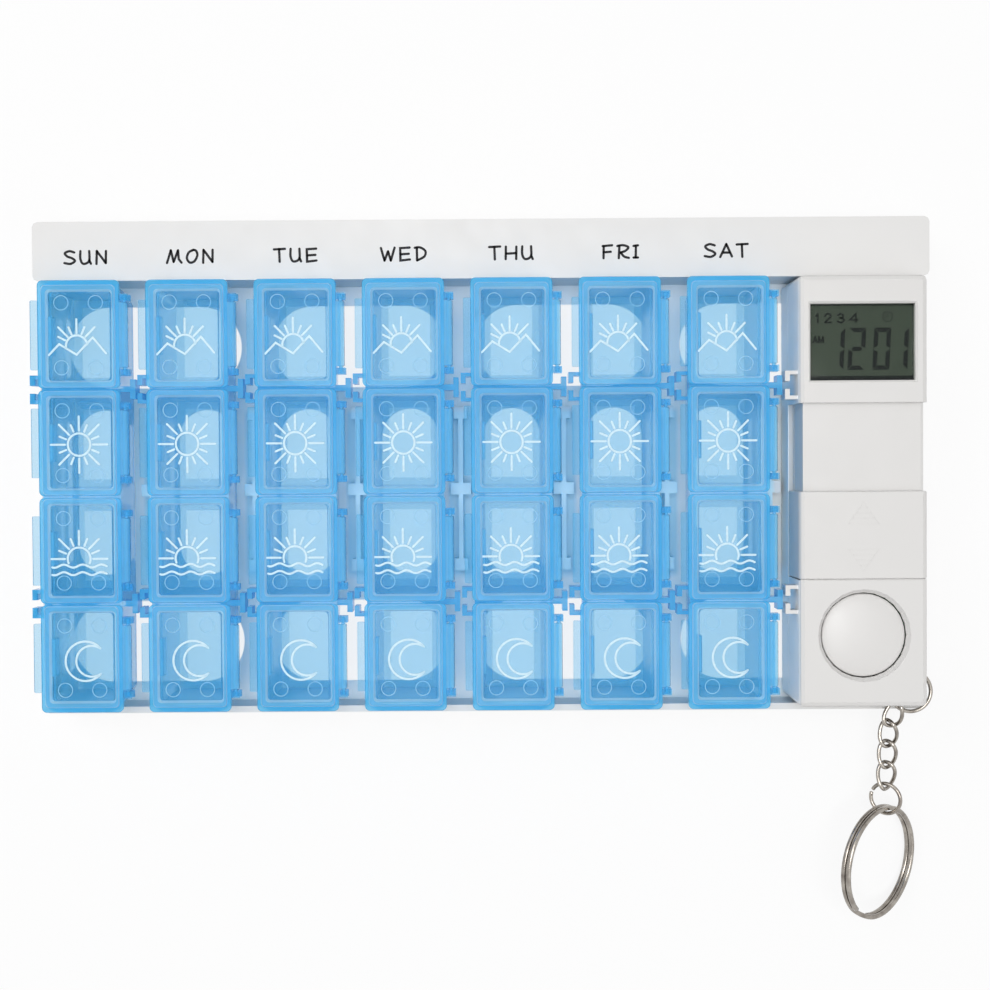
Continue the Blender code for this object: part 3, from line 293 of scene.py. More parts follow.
def printed(name, colour, alpha=1.0):
    """Pad-printed ink, a little uneven in its cover."""
    made, tree = node_tree(name)
    ink_noise = noise(tree, 900.0, 3.0)
    lighter = tuple(min(channel * 1.12 + 0.006, 1.0) for channel in colour)
    tone = blend_colour(tree, ink_noise, colour, lighter)
    normal = bump(tree, noise(tree, 3200.0, 2.0), 0.1, 0.00001)
    body = add(tree, "ShaderNodeBsdfPrincipled", Base_Color=tone, Roughness=0.5, Normal=normal)
    body.inputs["Specular IOR Level"].default_value = 0.15
    if alpha < 1.0:
        cover = spread(tree, ink_noise, alpha - 0.06, alpha + 0.04)
        tree.links.new(cover, body.inputs["Alpha"])
    return finished(made, tree, body)


def plated(name, colour, dark, roughness=0.16):
    """Nickel plate: polished, with fine draw marks and duller, darker patches."""
    made, tree = node_tree(name)
    patches = noise(tree, 380.0, 4.0)
    tone = blend_colour(tree, spread(tree, patches, 0.0, 1.0, 0.35, 0.75), colour, dark)
    gloss = spread(tree, noise(tree, 900.0, 3.0), roughness - 0.06, roughness + 0.1)
    normal = bump(tree, noise(tree, 1900.0, 3.0), 0.12, 0.00002)
    body = add(
        tree, "ShaderNodeBsdfPrincipled", Base_Color=tone, Roughness=gloss, Normal=normal, Metallic=1.0,
    )
    return finished(made, tree, body)


def glazed(name, tint, roughness=0.06):
    """Clear window plastic with hair-fine wipe marks."""
    made, tree = node_tree(name)
    marks = noise(tree, 240.0, 4.0, (1.0, 9.0, 1.0))
    normal = bump(tree, marks, 0.04, 0.00002)
    window = add(tree, "ShaderNodeBsdfTransparent", Color=tint)
    gloss = add(tree, "ShaderNodeBsdfGlossy", Color=(1.0, 1.0, 1.0), Roughness=roughness, Normal=normal)
    edge = add(tree, "ShaderNodeFresnel", IOR=1.1, Normal=normal)
    return finished(made, tree, mix_shaders(tree, edge.outputs[0], window, gloss))


WHITE = (0.735, 0.728, 0.718)
TIMER_WHITE = (0.7, 0.69, 0.678)
TRAY_FLOOR = 2.0
TRAY_INNER_X = 110.9
TRAY_INNER_Y = 54.0
# Painted light: the recess floor is painted whiter, standing in for light on a floor in the boxes' shade.
RECESS_PAINTED_LIGHT = (0.95, 0.955, 0.945)
FIN_TOP = 12.3
AISLE_START = 9.4
AISLE_END = 22.0
AISLE_RIGHT = 74.0
# Painted blue bounce light on the fins and aisles between the boxes.
AISLE_PAINTED_BOUNCE = (0.56, 0.82, 0.92)
TIMER_LEFT = 77.5
# Painted light: the timer's left wall lies in shade beside the boxes and is painted paler.
TIMER_SIDE_PAINTED_LIGHT = (0.95, 0.955, 0.95)


def tray_zones(tree, colour):
    """The recess, polished where the header is textured, is painted whiter than the header: painted light on
    its floor in the boxes' shade. Its fins and aisles are painted faintly blue: painted light bounced off the
    blue boxes.
    """
    x = part_of(tree, "Object", "X")
    height = part_of(tree, "Object", "Z")
    across = distance(tree, x, 0.0)
    along = distance(tree, part_of(tree, "Object", "Y"), BOX_Y)
    recess = times(
        tree,
        falls(tree, across, TRAY_INNER_X, TRAY_INNER_X + BORDER),
        falls(tree, along, TRAY_INNER_Y, TRAY_INNER_Y + BORDER),
        falls(tree, height, TRAY_FLOOR + 0.05, TRAY_FLOOR + 0.15),
    )
    tone = blend_colour(tree, recess, colour, RECESS_PAINTED_LIGHT)
    aisle = times(
        tree,
        beside_middle(tree, AISLE_START, AISLE_START + 1.0),
        falls(tree, height, FIN_TOP, FIN_TOP + BORDER),
        rises(tree, height, TRAY_FLOOR - 0.3, TRAY_FLOOR - 0.2),
        falls(tree, along, AISLE_END - 1.5, AISLE_END + 0.5),
        falls(tree, across, TRAY_INNER_X - 1.0, TRAY_INNER_X - 0.9),
        falls(tree, x, AISLE_RIGHT, AISLE_RIGHT + 1.0),
    )
    return blend_colour(tree, aisle, tone, AISLE_PAINTED_BOUNCE)


def timer_zones(tree, colour):
    """The timer's left side, smoother than its face, is painted paler: painted light on a wall in the boxes'
    shade.
    """
    across = part_of(tree, "Object", "X")
    side = times(
        tree,
        falls(tree, across, TIMER_LEFT + 0.1, TIMER_LEFT + 0.3),
        rises(tree, across, TIMER_LEFT - 0.2, TIMER_LEFT - 0.1),
    )
    return blend_colour(tree, side, colour, TIMER_SIDE_PAINTED_LIGHT)


white = moulded("white_abs", WHITE, 0.42, grain=0.1)
button_white = moulded("button_white", (0.715, 0.703, 0.69), 0.34, grain=0.05)
cover_white = moulded("cover_white", TIMER_WHITE, 0.42, grain=0.1)
timer_white = moulded("timer_white", TIMER_WHITE, 0.42, grain=0.1, zones=timer_zones)
tray_white = moulded("tray_white", WHITE, 0.42, grain=0.1, zones=tray_zones)
# A darker grey for the ring in the alarm button's well: painted shade in the groove round the dome.
well_painted_shade = moulded("well_painted_shade", (0.62, 0.585, 0.56), 0.4, grain=0.05)
blue_panel = clear_blue("blue_panel", PANEL_TINT, (0.14, 0.7, 0.98), 0.15, 0.15, wave=0.05)
blue_wall = clear_blue(
    "blue_wall", (0.82, 0.96, 1.0), (0.1, 0.58, 0.95), 0.03, 0.6, wave=0.08, box=True, slant=0.62,
)
blue_rim = clear_blue("blue_rim", RIM_TINT, (0.28, 0.74, 1.0), 0.06, 0.45, roughness=0.12, wave=0.08)
# Pale blue on the lids' rounded frame edges and ejector rings: painted highlight lines where those edges
# catch light.
blue_painted_highlight = clear_blue("blue_painted_highlight", (0.8, 0.94, 1.0), (0.6, 0.87, 1.0), 0.6, 0.6, roughness=0.12, wave=0.05)
blue_flange = clear_blue("blue_flange", RIM_TINT, (0.13, 0.63, 0.95), 0.25, 0.55, wave=0.08)
icon_white = printed("icon_white", (0.66, 0.85, 0.99), alpha=0.85)
ink_black = printed("ink_black", (0.012, 0.012, 0.014))
lcd_ink = printed("lcd_ink", (0.004, 0.006, 0.007))
lcd_glass = moulded(
    "lcd_glass", (0.06, 0.074, 0.058), 0.3, grain=0.02, shade=0.06, grain_scale=1500.0, specular=0.1,
)
lens_clear = glazed("lens_clear", (0.93, 0.95, 0.93))
nickel = plated("nickel", (0.42, 0.39, 0.35), (0.2, 0.175, 0.155))
rubber_black = moulded("rubber_black", (0.03, 0.03, 0.03), 0.7, grain=0.2)
board_green = moulded("board_green", (0.03, 0.2, 0.08), 0.4, grain=0.1)
cell_wrap = moulded("cell_wrap", (0.12, 0.13, 0.15), 0.3, grain=0.04)
grey_key = moulded("grey_key", (0.45, 0.46, 0.47), 0.45, grain=0.12)


# Mesh helpers


def finish_mesh(name, builder, materials, angle=32.0):
    bmesh.ops.recalc_face_normals(builder, faces=builder.faces)
    mesh = bpy.data.meshes.new(name)
    builder.to_mesh(mesh)
    builder.free()
    for entry in materials:
        mesh.materials.append(entry)
    mesh.shade_smooth()
    mesh.set_sharp_from_angle(angle=math.radians(angle))
    return mesh


def place(name, mesh, body, slot, location=(0.0, 0.0, 0.0), stands_for=None):
    made = bpy.data.objects.new(name, mesh)
    made.location = location
    bpy.context.scene.collection.objects.link(made)
    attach(made, body)
    if stands_for:
        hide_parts(stands_for)
    return made


def rounded_loop(builder, centre_x, half_x, half_y, radius, height, steps=5, centre_y=0.0):
    """Vertices of a rectangle with round corners, in millimetres, counter-clockwise from its +X side."""
    found = []
    corners = ((1, 1, 0.0), (-1, 1, 90.0), (-1, -1, 180.0), (1, -1, 270.0))
    for side_x, side_y, start in corners:
        for step in range(steps + 1):
            turn = math.radians(start + 90.0 * step / steps)
            x = centre_x + side_x * (half_x - radius) + radius * math.cos(turn)
            y = centre_y + side_y * (half_y - radius) + radius * math.sin(turn)
            found.append(builder.verts.new((x * MM, y * MM, height * MM)))
    return found


def bridge(builder, first, second, material=0):
    count = len(first)
    for index in range(count):
        after = (index + 1) % count
        face = builder.faces.new((first[index], first[after], second[after], second[index]))
        face.material_index = material


def cap(builder, loop, material=0):
    face = builder.faces.new(loop)
    face.material_index = material


def closed_skin(builder, loops, material=0, step_materials=None):
    """A closed solid through loops of as many points each. Its steps can have materials of their own."""
    step_materials = step_materials or [material] * (len(loops) - 1)
    cap(builder, loops[0], material)
    for first, second, step_material in zip(loops, loops[1:], step_materials):
        bridge(builder, first, second, step_material)
    cap(builder, loops[-1], material)


def solid_box(builder, low, high, edge, material=0):
    """A box with chamfered upright and top edges, in millimetres."""
    middle = [(a + b) / 2 for a, b in zip(low, high)]
    half = [(b - a) / 2 for a, b in zip(low, high)]
    loops = []
    for inset, height in ((edge, low[2]), (0.0, low[2] + edge), (0.0, high[2] - edge), (edge, high[2])):
        loops.append(rounded_loop(
            builder, middle[0], half[0] - inset, half[1] - inset, edge, height, 2, middle[1],
        ))
    closed_skin(builder, loops, material)


def solid_rod(builder, centre, radius, length, sides=20, material=0):
    """A rod along Y with rounded rims, in millimetres."""
    rim = min(radius * 0.3, length * 0.2)
    profile = ((-length / 2, radius - rim), (-length / 2 + rim, radius), (length / 2 - rim, radius),
               (length / 2, radius - rim))
    loops = []
    for along, size in profile:
        ring = []
        for index in range(sides):
            turn = 2 * math.pi * index / sides
            point = (centre[0] + size * math.cos(turn), centre[1] + along, centre[2] + size * math.sin(turn))
            ring.append(builder.verts.new([value * MM for value in point]))
        loops.append(ring)
    closed_skin(builder, loops, material)


def ribbon(builder, points, width, low, high, closed=False, material=0, cap_steps=5):
    """A flat raised line with round ends through 2-D points, in millimetres."""
    count = len(points)
    half = width / 2
    lefts, rights = [], []
    for index, point in enumerate(points):
        before = points[index - 1] if closed or index else None
        after = points[(index + 1) % count] if closed or index < count - 1 else None
        ways = []
        if before is not None:
            ways.append((Vector(point) - Vector(before)).normalized())
        if after is not None:
            ways.append((Vector(after) - Vector(point)).normalized())
        along = sum(ways, Vector((0.0, 0.0))).normalized()
        side = Vector((-along.y, along.x))
        reach = half / max(side.dot(Vector((-ways[0].y, ways[0].x))), 0.45)
        lefts.append(Vector(point) + side * reach)
        rights.append(Vector(point) - side * reach)

    def pair(spot):
        return (builder.verts.new((spot.x * MM, spot.y * MM, low * MM)),
                builder.verts.new((spot.x * MM, spot.y * MM, high * MM)))

    left = [pair(spot) for spot in lefts]
    right = [pair(spot) for spot in rights]
    faces = []
    last = count if closed else count - 1
    for index in range(last):
        after = (index + 1) % count
        faces.append((left[index][1], left[after][1], right[after][1], right[index][1]))
        faces.append((left[index][0], right[index][0], right[after][0], left[after][0]))
        faces.append((left[index][0], left[after][0], left[after][1], left[index][1]))
        faces.append((right[index][1], right[after][1], right[after][0], right[index][0]))
    if not closed:
        ends = ((points[0], points[1], left[0], right[0]), (points[-1], points[-2], right[-1], left[-1]))
        for spot, inner, outer_a, outer_b in ends:
            centre = Vector(spot)
            away = (centre - Vector(inner)).normalized()
            side = Vector((-away.y, away.x))
            arc = []
            for step in range(1, cap_steps):
                turn = math.pi * step / cap_steps
                arc.append(pair(centre - side * half * math.cos(turn) + away * half * math.sin(turn)))
            chain = [outer_a, *arc, outer_b]
            faces.append([item[1] for item in chain])
            faces.append([item[0] for item in reversed(chain)])
            for first, second in zip(chain, chain[1:]):
                faces.append((first[0], second[0], second[1], first[1]))
    for corners in faces:
        face = builder.faces.new(corners)
        face.material_index = material


def slab(builder, points, low, high):
    """A flat plate with a convex outline of 2-D points, in millimetres."""
    loops = []
    for height in (low, high):
        loops.append([builder.verts.new((x * MM, y * MM, height * MM)) for x, y in points])
    closed_skin(builder, loops)


def arc_points(centre, radius, start, end, steps):
    found = []
    for step in range(steps + 1):
        turn = math.radians(start + (end - start) * step / steps)
        found.append((centre[0] + radius * math.cos(turn), centre[1] + radius * math.sin(turn)))
    return found


def circle_points(centre, radius, sides=24):
    return arc_points(centre, radius, 0, 360 - 360 / sides, sides - 1)


def curve_points(points, steps=5):
    """Points of a smooth curve through the given ones."""
    found = []
    padded = [points[0], *points, points[-1]]
    for a, b, c, d in zip(padded, padded[1:], padded[2:], padded[3:]):
        for step in range(steps):
            t = step / steps
            spot = []
            for p, q, r, s in zip(a, b, c, d):
                spot.append(0.5 * (2 * q + (r - p) * t + (2 * p - 5 * q + 4 * r - s) * t * t
                                   + (3 * q - p - 3 * r + s) * t * t * t))
            found.append(tuple(spot))
    found.append(tuple(points[-1]))
    return found


# Carried-over solids


def soften(name, width):
    """Rounds the crisp edges of a solid, as its mould would."""
    solid = nodes[name]
    weld = solid.modifiers.new("Weld", "WELD")
    weld.merge_threshold = 0.000002
    round_edge = solid.modifiers.new("Edge", "BEVEL")
    round_edge.width = width * MM
    round_edge.segments = 2
    round_edge.limit_method = "ANGLE"
    round_edge.angle_limit = math.radians(40)
    round_edge.use_clamp_overlap = True
    shade = solid.modifiers.new("Shade", "WEIGHTED_NORMAL")
    shade.keep_sharp = True


def coat(name, finish):
    solid = nodes[name]
    if not solid.material_slots:
        solid.data.materials.append(finish)
    for holder in solid.material_slots:
        holder.material = finish


FINISHES = (
    (tray_white, ("tray",)),
    (timer_white, ("timer_front_shell", "timer_back_shell")),
    (cover_white, ("slide_cover",)),
    (white, ("battery_door",)),
    (button_white, ("alarm_button",)),
    (lens_clear, ("display_lens",)),
    (lcd_glass, ("display_module",)),
    (rubber_black, ("contact_strip", "buzzer")),
    (board_green, ("circuit_board",)),
    (cell_wrap, ("battery_1", "battery_2")),
    (nickel, ("battery_contact_front", "battery_contact_rear")),
    (grey_key, ("set_button_1", "set_button_2", "set_button_3")),
    (blue_wall, [f"box_{day}" for day in DAYS]),
)
for finish, names in FINISHES:
    for name in names:
        coat(name, finish)


# Round window outlines in the tray

END_WINDOW = (44.6, 21.0)
END_WINDOW_OFFSET = 38.2
MIDDLE_WINDOW = (14.6, 42.7)
MIDDLE_WINDOW_SHIFT = 0.6
ROUND_SHARE = 0.499
TRIM = 0.04
UNDERCUT = 1.5
LIP = 0.3
CUT_PAST = 1.0
OUTLINE_STEPS = 24
EDGE_ROUNDS = (("tray", 0.25), ("timer_front_shell", 0.2), ("slide_cover", 0.25), ("battery_door", 0.15))


def window_prism(builder, x, y, length_x, length_y):
    """A window's cutter, wider below than above, so that only the upper edge of the floor shows."""
    radius = min(length_x, length_y) * ROUND_SHARE
    steps = (
        (-CUT_PAST, UNDERCUT), (LIP, UNDERCUT), (TRAY_FLOOR - LIP, TRIM), (TRAY_FLOOR + CUT_PAST, TRIM),
    )
    loops = []
    for height, grow in steps:
        loops.append(rounded_loop(
            builder, x, length_x / 2 + grow, length_y / 2 + grow, radius + grow, height, OUTLINE_STEPS, y,
        ))
    closed_skin(builder, loops)


builder = bmesh.new()
for index in range(len(DAYS)):
    if index % 2 == 0:
        between = day_x(index) + DAY_PITCH / 2
        for side in (-1, 1):
            window_prism(builder, between, BOX_Y + side * END_WINDOW_OFFSET, *END_WINDOW)
    window_prism(builder, day_x(index), BOX_Y + MIDDLE_WINDOW_SHIFT, *MIDDLE_WINDOW)
cutter = bpy.data.objects.new("window_cutter", finish_mesh("window_cutter", builder, []))
bpy.context.scene.collection.objects.link(cutter)
cutter.hide_render = True
cutter.hide_viewport = True
trim = nodes["tray"].modifiers.new("Windows", "BOOLEAN")
trim.operation = "DIFFERENCE"
trim.solver = "EXACT"
trim.object = cutter
for name, width in EDGE_ROUNDS:
    soften(name, width)


# Lids

PLATE_X = -0.125
PLATE_HALF_X = 10.025
INNER_REACH = 12.95
OUTER_REACH = 13.4
PLATE_FOOT = 24.7
PLATE_TOP = 26.2
PLUG_HALF_X = 8.1
PLUG_HALF_Y = 11.8
PLUG_WALL = 0.8
PLUG_FOOT = 22.9
PANEL_TOP = 25.45
PANEL_FOOT = 24.75
FLANGE_TOP = 25.7
EJECTOR_RADIUS = 1.75
EJECTOR_X = 4.2
EJECTOR_Y = 7.9
TAB = ((-11.9, -8.5, 24.95), (-9.9, 8.5, 25.95))
LATCH = ((-7.9, -4.65, 21.6), (-6.7, 4.65, 24.9))
STRAP = ((9.6, -8.0, 24.72), (11.0, 8.0, 25.62))
HINGE_X = 11.0
HINGE_Z = 24.9
BARREL_RADIUS = 0.9
BARREL_LENGTH = 16.0
PIN_RADIUS = 0.5
PIN_LENGTH = 1.8
PIN_Y = 8.7
ICON_STROKE = 0.5
ICON_SHIFT = ((-0.75, -2.5), (-0.3, -0.36), (-0.6, -2.0), (0.65, -0.8))
RIM, PANEL, EDGE, FLANGE = 0, 1, 2, 3

# The EDGE steps wear the pale blue, as painted highlight lines on the frame's rounded edges.
# Each step's insets from the plate's left, right, inner end and outer end, its height and its material
FRAME = (
    (0.15, 0.15, 0.15, 0.15, PLATE_FOOT, FLANGE),
    (0.0, 0.0, 0.0, 0.0, PLATE_FOOT + 0.15, FLANGE),
    (0.0, 0.0, 0.0, 0.0, FLANGE_TOP - 0.2, FLANGE),
    (0.14, 0.14, 0.12, 0.14, FLANGE_TOP - 0.04, FLANGE),
    (0.9, 0.95, 0.2, 1.15, FLANGE_TOP, EDGE),
    (1.04, 1.07, 0.32, 1.29, PLATE_TOP - 0.1, EDGE),
    (1.14, 1.15, 0.42, 1.4, PLATE_TOP, RIM),
    (2.15, 1.6, 1.45, 2.35, PLATE_TOP, EDGE),
    (2.29, 1.74, 1.59, 2.49, PLATE_TOP - 0.12, EDGE),
    (2.6, 2.0, 1.9, 2.85, PANEL_TOP, PANEL),
)


def lid_mesh(low_reach, high_reach):
    """A lid about the middle of its pocket, with its reaches towards -Y and +Y in millimetres."""
    builder = bmesh.new()
    inner_x = PLUG_HALF_X - PLUG_WALL
    inner_y = PLUG_HALF_Y - PLUG_WALL
    sections = [
        (0.0, inner_x, inner_y, 1.1, PANEL_FOOT),
        (0.0, inner_x, inner_y, 1.1, PLUG_FOOT + 0.2),
        (0.0, inner_x + 0.2, inner_y + 0.2, 1.2, PLUG_FOOT),
        (0.0, PLUG_HALF_X - 0.2, PLUG_HALF_Y - 0.2, 1.5, PLUG_FOOT),
        (0.0, PLUG_HALF_X, PLUG_HALF_Y, 1.7, PLUG_FOOT + 0.25),
        (0.0, PLUG_HALF_X, PLUG_HALF_Y, 1.7, PLATE_FOOT),
    ]
    materials = [RIM] * len(sections)
    for left, right, inner, outer, height, material in FRAME:
        low = low_reach - (outer if low_reach == OUTER_REACH else inner)
        high = high_reach - (outer if high_reach == OUTER_REACH else inner)
        sections.append((
            PLATE_X + (left - right) / 2, PLATE_HALF_X - (left + right) / 2, (low + high) / 2,
            max(1.25 - left * 0.2, 0.7), height, 5, (high - low) / 2,
        ))
        materials.append(material)
    loops = [rounded_loop(builder, *section) for section in sections]
    closed_skin(builder, loops, PANEL, materials[:-1])
    # The ejector rings wear the same pale blue, as painted highlight lines.
    for x in (-EJECTOR_X, EJECTOR_X):
        for y in (-EJECTOR_Y, EJECTOR_Y):
            ring = circle_points((PLATE_X + x, y), EJECTOR_RADIUS)
            ribbon(builder, ring, 0.2, PANEL_TOP - 0.02, PANEL_TOP + 0.05, closed=True, material=EDGE)
    solid_box(builder, *TAB, 0.3, PANEL)
    solid_box(builder, *LATCH, 0.25, RIM)
    solid_box(builder, *STRAP, 0.12, RIM)
    solid_rod(builder, (HINGE_X, 0.0, HINGE_Z), BARREL_RADIUS, BARREL_LENGTH, material=RIM)
    for side in (-1, 1):
        solid_rod(builder, (HINGE_X, side * PIN_Y, HINGE_Z), PIN_RADIUS, PIN_LENGTH, sides=14, material=RIM)
    return finish_mesh("lid", builder, [blue_rim, blue_panel, blue_painted_highlight, blue_flange])


def ray(centre, angle, near, far):
    turn = math.radians(angle)
    way = (math.cos(turn), math.sin(turn))
    return [(centre[0] + reach * way[0], centre[1] + reach * way[1]) for reach in (near, far)]


def sunrise():
    centre = (0.15, -0.15)
    strokes = [[(-6.65, -2.3), (-4.1, 0.35), (0.15, -2.25), (4.1, 1.95), (7.3, -1.95)]]
    strokes.append(arc_points(centre, 2.62, 9, 191, 20))
    for angle, reach in ((90, 6.55), (67, 5.0), (46, 6.4), (113, 5.0), (134, 6.4), (153, 5.0)):
        strokes.append(ray(centre, angle, 3.15, reach))
    return strokes


def full_sun():
    centre = (0.0, 0.0)
    strokes = [circle_points(centre, 2.75)]
    for index in range(16):
        strokes.append(ray(centre, index * 22.5, 3.4, (6.9, 5.15)[index % 2]))
    return strokes


def wave(y):
    """A line of water along X at a height of the icon."""
    left, right, height, length = -6.6, 6.7, 0.75, 4.6
    steps = 36
    found = []
    for step in range(steps + 1):
        x = left + (right - left) * step / steps
        found.append((x, y + height / 2 * math.cos(2 * math.pi * (x - left) / length + 2.4)))
    return found


def sea_sun():
    centre = (0.0, 0.0)
    strokes = [arc_points(centre, 2.8, -22, 202, 20), wave(-1.75), wave(-3.6)]
    for index in range(9):
        strokes.append(ray(centre, index * 22.5, 3.45, (6.9, 5.3)[index % 2]))
    return strokes


def crescent():
    """Two arcs that meet at their ends. The moon opens towards +X."""
    outer = arc_points((0.0, 0.0), 4.85, 40, 320, 40)
    tip = Vector(outer[0])
    inner_centre = Vector((1.55, 0.0))
    reach = tip - inner_centre
    start = math.degrees(math.atan2(reach.y, reach.x))
    inner = arc_points(inner_centre, reach.length, start, 360 - start, 36)
    return [outer, inner]


def icon_mesh(strokes, first_closed=False):
    builder = bmesh.new()
    for index, points in enumerate(strokes):
        closed = first_closed and index == 0
        ribbon(builder, points, ICON_STROKE, PANEL_TOP - 0.01, PANEL_TOP + 0.06, closed=closed)
    return finish_mesh("lid_icon", builder, [icon_white])


middle_plate = lid_mesh(INNER_REACH, INNER_REACH)
plates = (lid_mesh(INNER_REACH, OUTER_REACH), middle_plate, middle_plate, lid_mesh(OUTER_REACH, INNER_REACH))
icons = (icon_mesh(sunrise()), icon_mesh(full_sun(), True), icon_mesh(sea_sun()), icon_mesh(crescent()))
for index, day in enumerate(DAYS):
    for row in range(ROWS):
        name = f"lid_{day}_{row + 1}"
        spot = Vector((day_x(index), row_y(row), 0.0)) * MM
        shift = Vector((*ICON_SHIFT[row], 0.0)) * MM
        place(f"lid_plate_{day}_{row + 1}", plates[row], name, "blue_clear", spot, name)
        place(f"lid_icon_{day}_{row + 1}", icons[row], name, "blue_clear", spot + shift)


# Weekday names on the header

GLYPHS = {
    "S": (3.4, [curve_points([(0.93, 0.9), (0.5, 1.0), (0.1, 0.84), (0.3, 0.6), (0.75, 0.44), (0.98, 0.24),
                              (0.6, 0.02), (0.05, 0.08)])]),
    "U": (3.4, [curve_points([(0.06, 1.0), (0.05, 0.4), (0.25, 0.04), (0.6, 0.06), (0.85, 0.3), (0.84, 1.0)]),
                [(0.84, 0.3), (0.98, 0.02)]]),
    "N": (3.3, [[(0.06, 0.0), (0.1, 1.0)], [(0.1, 1.0), (0.92, 0.06)], [(0.92, 0.06), (0.94, 1.0)]]),
    "M": (4.35, [[(0.02, 0.0), (0.28, 0.98)], [(0.28, 0.98), (0.46, 0.08)], [(0.46, 0.08), (0.76, 0.98)],
                 [(0.76, 0.98), (0.8, 0.3), (0.98, 0.02)]]),
    "O": (3.4, [curve_points([(0.62, 1.0), (0.2, 0.8), (0.04, 0.35), (0.3, 0.02), (0.72, 0.14), (0.97, 0.6),
                              (0.84, 0.94), (0.62, 1.0)])]),
    "T": (3.4, [[(0.0, 0.96), (0.98, 1.0)], [(0.46, 0.98), (0.5, 0.0)]]),
    "E": (3.2, [[(0.98, 1.0), (0.08, 0.96), (0.1, 0.0), (1.0, 0.08)], [(0.1, 0.48), (0.9, 0.52)]]),
    "W": (4.0, [[(0.0, 0.98), (0.26, 0.0)], [(0.26, 0.0), (0.52, 0.72)], [(0.52, 0.72), (0.72, 0.0)],
                [(0.72, 0.0), (1.0, 1.0)]]),
    "D": (3.4, [[(0.2, 0.96), (0.22, 0.0)],
                curve_points([(0.02, 0.98), (0.5, 1.0), (0.96, 0.72), (0.86, 0.3), (0.22, 0.0)])]),
    "H": (3.5, [[(0.06, 0.98), (0.04, 0.02)], [(0.96, 0.98), (0.94, 0.02)], [(0.05, 0.44), (0.95, 0.48)]]),
    "F": (3.1, [[(0.04, 0.94), (0.98, 1.0)], [(0.14, 0.94), (0.12, 0.0)], [(0.12, 0.46), (0.84, 0.5)]]),
    "R": (3.5, [[(0.2, 0.96), (0.14, 0.0)],
                curve_points([(0.02, 0.94), (0.5, 1.0), (0.96, 0.84), (0.7, 0.56), (0.3, 0.44)]),
                curve_points([(0.3, 0.44), (0.6, 0.12), (1.0, 0.02)])]),
    "I": (1.7, [[(0.0, 0.94), (1.0, 0.98)], [(0.54, 0.96), (0.48, 0.04)], [(0.0, 0.04), (0.98, 0.04)]]),
    "A": (3.5, [[(0.0, 0.0), (0.52, 1.0)], [(0.52, 1.0), (1.0, 0.04)], [(0.2, 0.34), (0.84, 0.34)]]),
}
WORD_LEFT = (-6.0, -6.8, -6.5, -6.3, -5.8, -4.1, -5.2)
STROKE = 0.6
LETTER_HEIGHT = 3.2
LETTER_GAP = 0.58
HEADER_TOP = 18.0
WORD_FOOT = 51.25
WORD_RISE = 0.0042
INK_SUNK = 0.02
INK_PROUD = 0.03
for index, day in enumerate(DAYS):
    builder = bmesh.new()
    cursor = day_x(index) + WORD_LEFT[index] + STROKE / 2
    foot = WORD_FOOT + WORD_RISE * (day_x(index) + 98)
    for letter in day:
        wide, strokes = GLYPHS[letter]
        for points in strokes:
            spots = [(cursor + x * (wide - STROKE), foot + y * LETTER_HEIGHT) for x, y in points]
            ribbon(builder, spots, STROKE, HEADER_TOP - INK_SUNK, HEADER_TOP + INK_PROUD)
        cursor += wide + LETTER_GAP
    place(f"text_{day}", finish_mesh(f"text_{day}", builder, [ink_black]), "tray", "rubber")


# Display marks

MODULE_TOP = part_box("display_module")[1].z / MM
MARK_LOW = MODULE_TOP + 0.01
MARK_HIGH = MODULE_TOP + 0.05
SEGMENTS = {"1": "bc", "2": "abged", "0": "abcdef"}
SEGMENT_WIDTH = 1.08
SEGMENT_GAP = 0.09
SLANT = 0.05
DIGIT_FOOT = 23.3
DIGIT_WIDTH = 4.15
DIGIT_HEIGHT = 10.3
DIGIT_PLACES = (("1", 84.55), ("2", 89.65), ("0", 95.75), ("1", 100.15))


def digit_outlines(left, foot, width, height):
    """Outlines of the seven segments of a slanted digit."""
    thick, gap, bevel = SEGMENT_WIDTH, SEGMENT_GAP, SEGMENT_WIDTH / 2
    right, top = left + width, foot + height
    middle = foot + height / 2
    inner_left, inner_right = left + thick, right - thick
    found = {
        "a": [(left + gap, top), (right - gap, top),
              (inner_right - gap, top - thick), (inner_left + gap, top - thick)],
        "d": [(left + gap, foot), (inner_left + gap, foot + thick),
              (inner_right - gap, foot + thick), (right - gap, foot)],
        "b": [(right, top - gap), (right, middle + gap), (right - bevel, middle + bevel - gap),
              (inner_right, middle + bevel + 2 * gap), (inner_right, top - thick - gap)],
        "c": [(right, foot + gap), (inner_right, foot + thick + gap), (inner_right, middle - bevel - 2 * gap),
              (right - bevel, middle - bevel + gap), (right, middle - gap)],
        "f": [(left, top - gap), (inner_left, top - thick - gap), (inner_left, middle + bevel + 2 * gap),
              (left + bevel, middle + bevel - gap), (left, middle + gap)],
        "e": [(left, foot + gap), (left, middle - gap), (left + bevel, middle - bevel + gap),
              (inner_left, middle - bevel - 2 * gap), (inner_left, foot + thick + gap)],
        "g": [(left + bevel + 2 * gap, middle), (inner_left + gap, middle + bevel),
              (inner_right - gap, middle + bevel), (right - bevel - 2 * gap, middle),
              (inner_right - gap, middle - bevel), (inner_left + gap, middle - bevel)],
    }
    for name, outline in found.items():
        found[name] = [(x + SLANT * (y - foot), y) for x, y in outline]
    return found


builder = bmesh.new()
for digit, left in DIGIT_PLACES:
    outlines = digit_outlines(left, DIGIT_FOOT, DIGIT_WIDTH, DIGIT_HEIGHT)
    for segment in SEGMENTS[digit]:
        slab(builder, outlines[segment], MARK_LOW, MARK_HIGH)
place("display_digits", finish_mesh("display_digits", builder, [lcd_ink]), "timer", "display_glass")

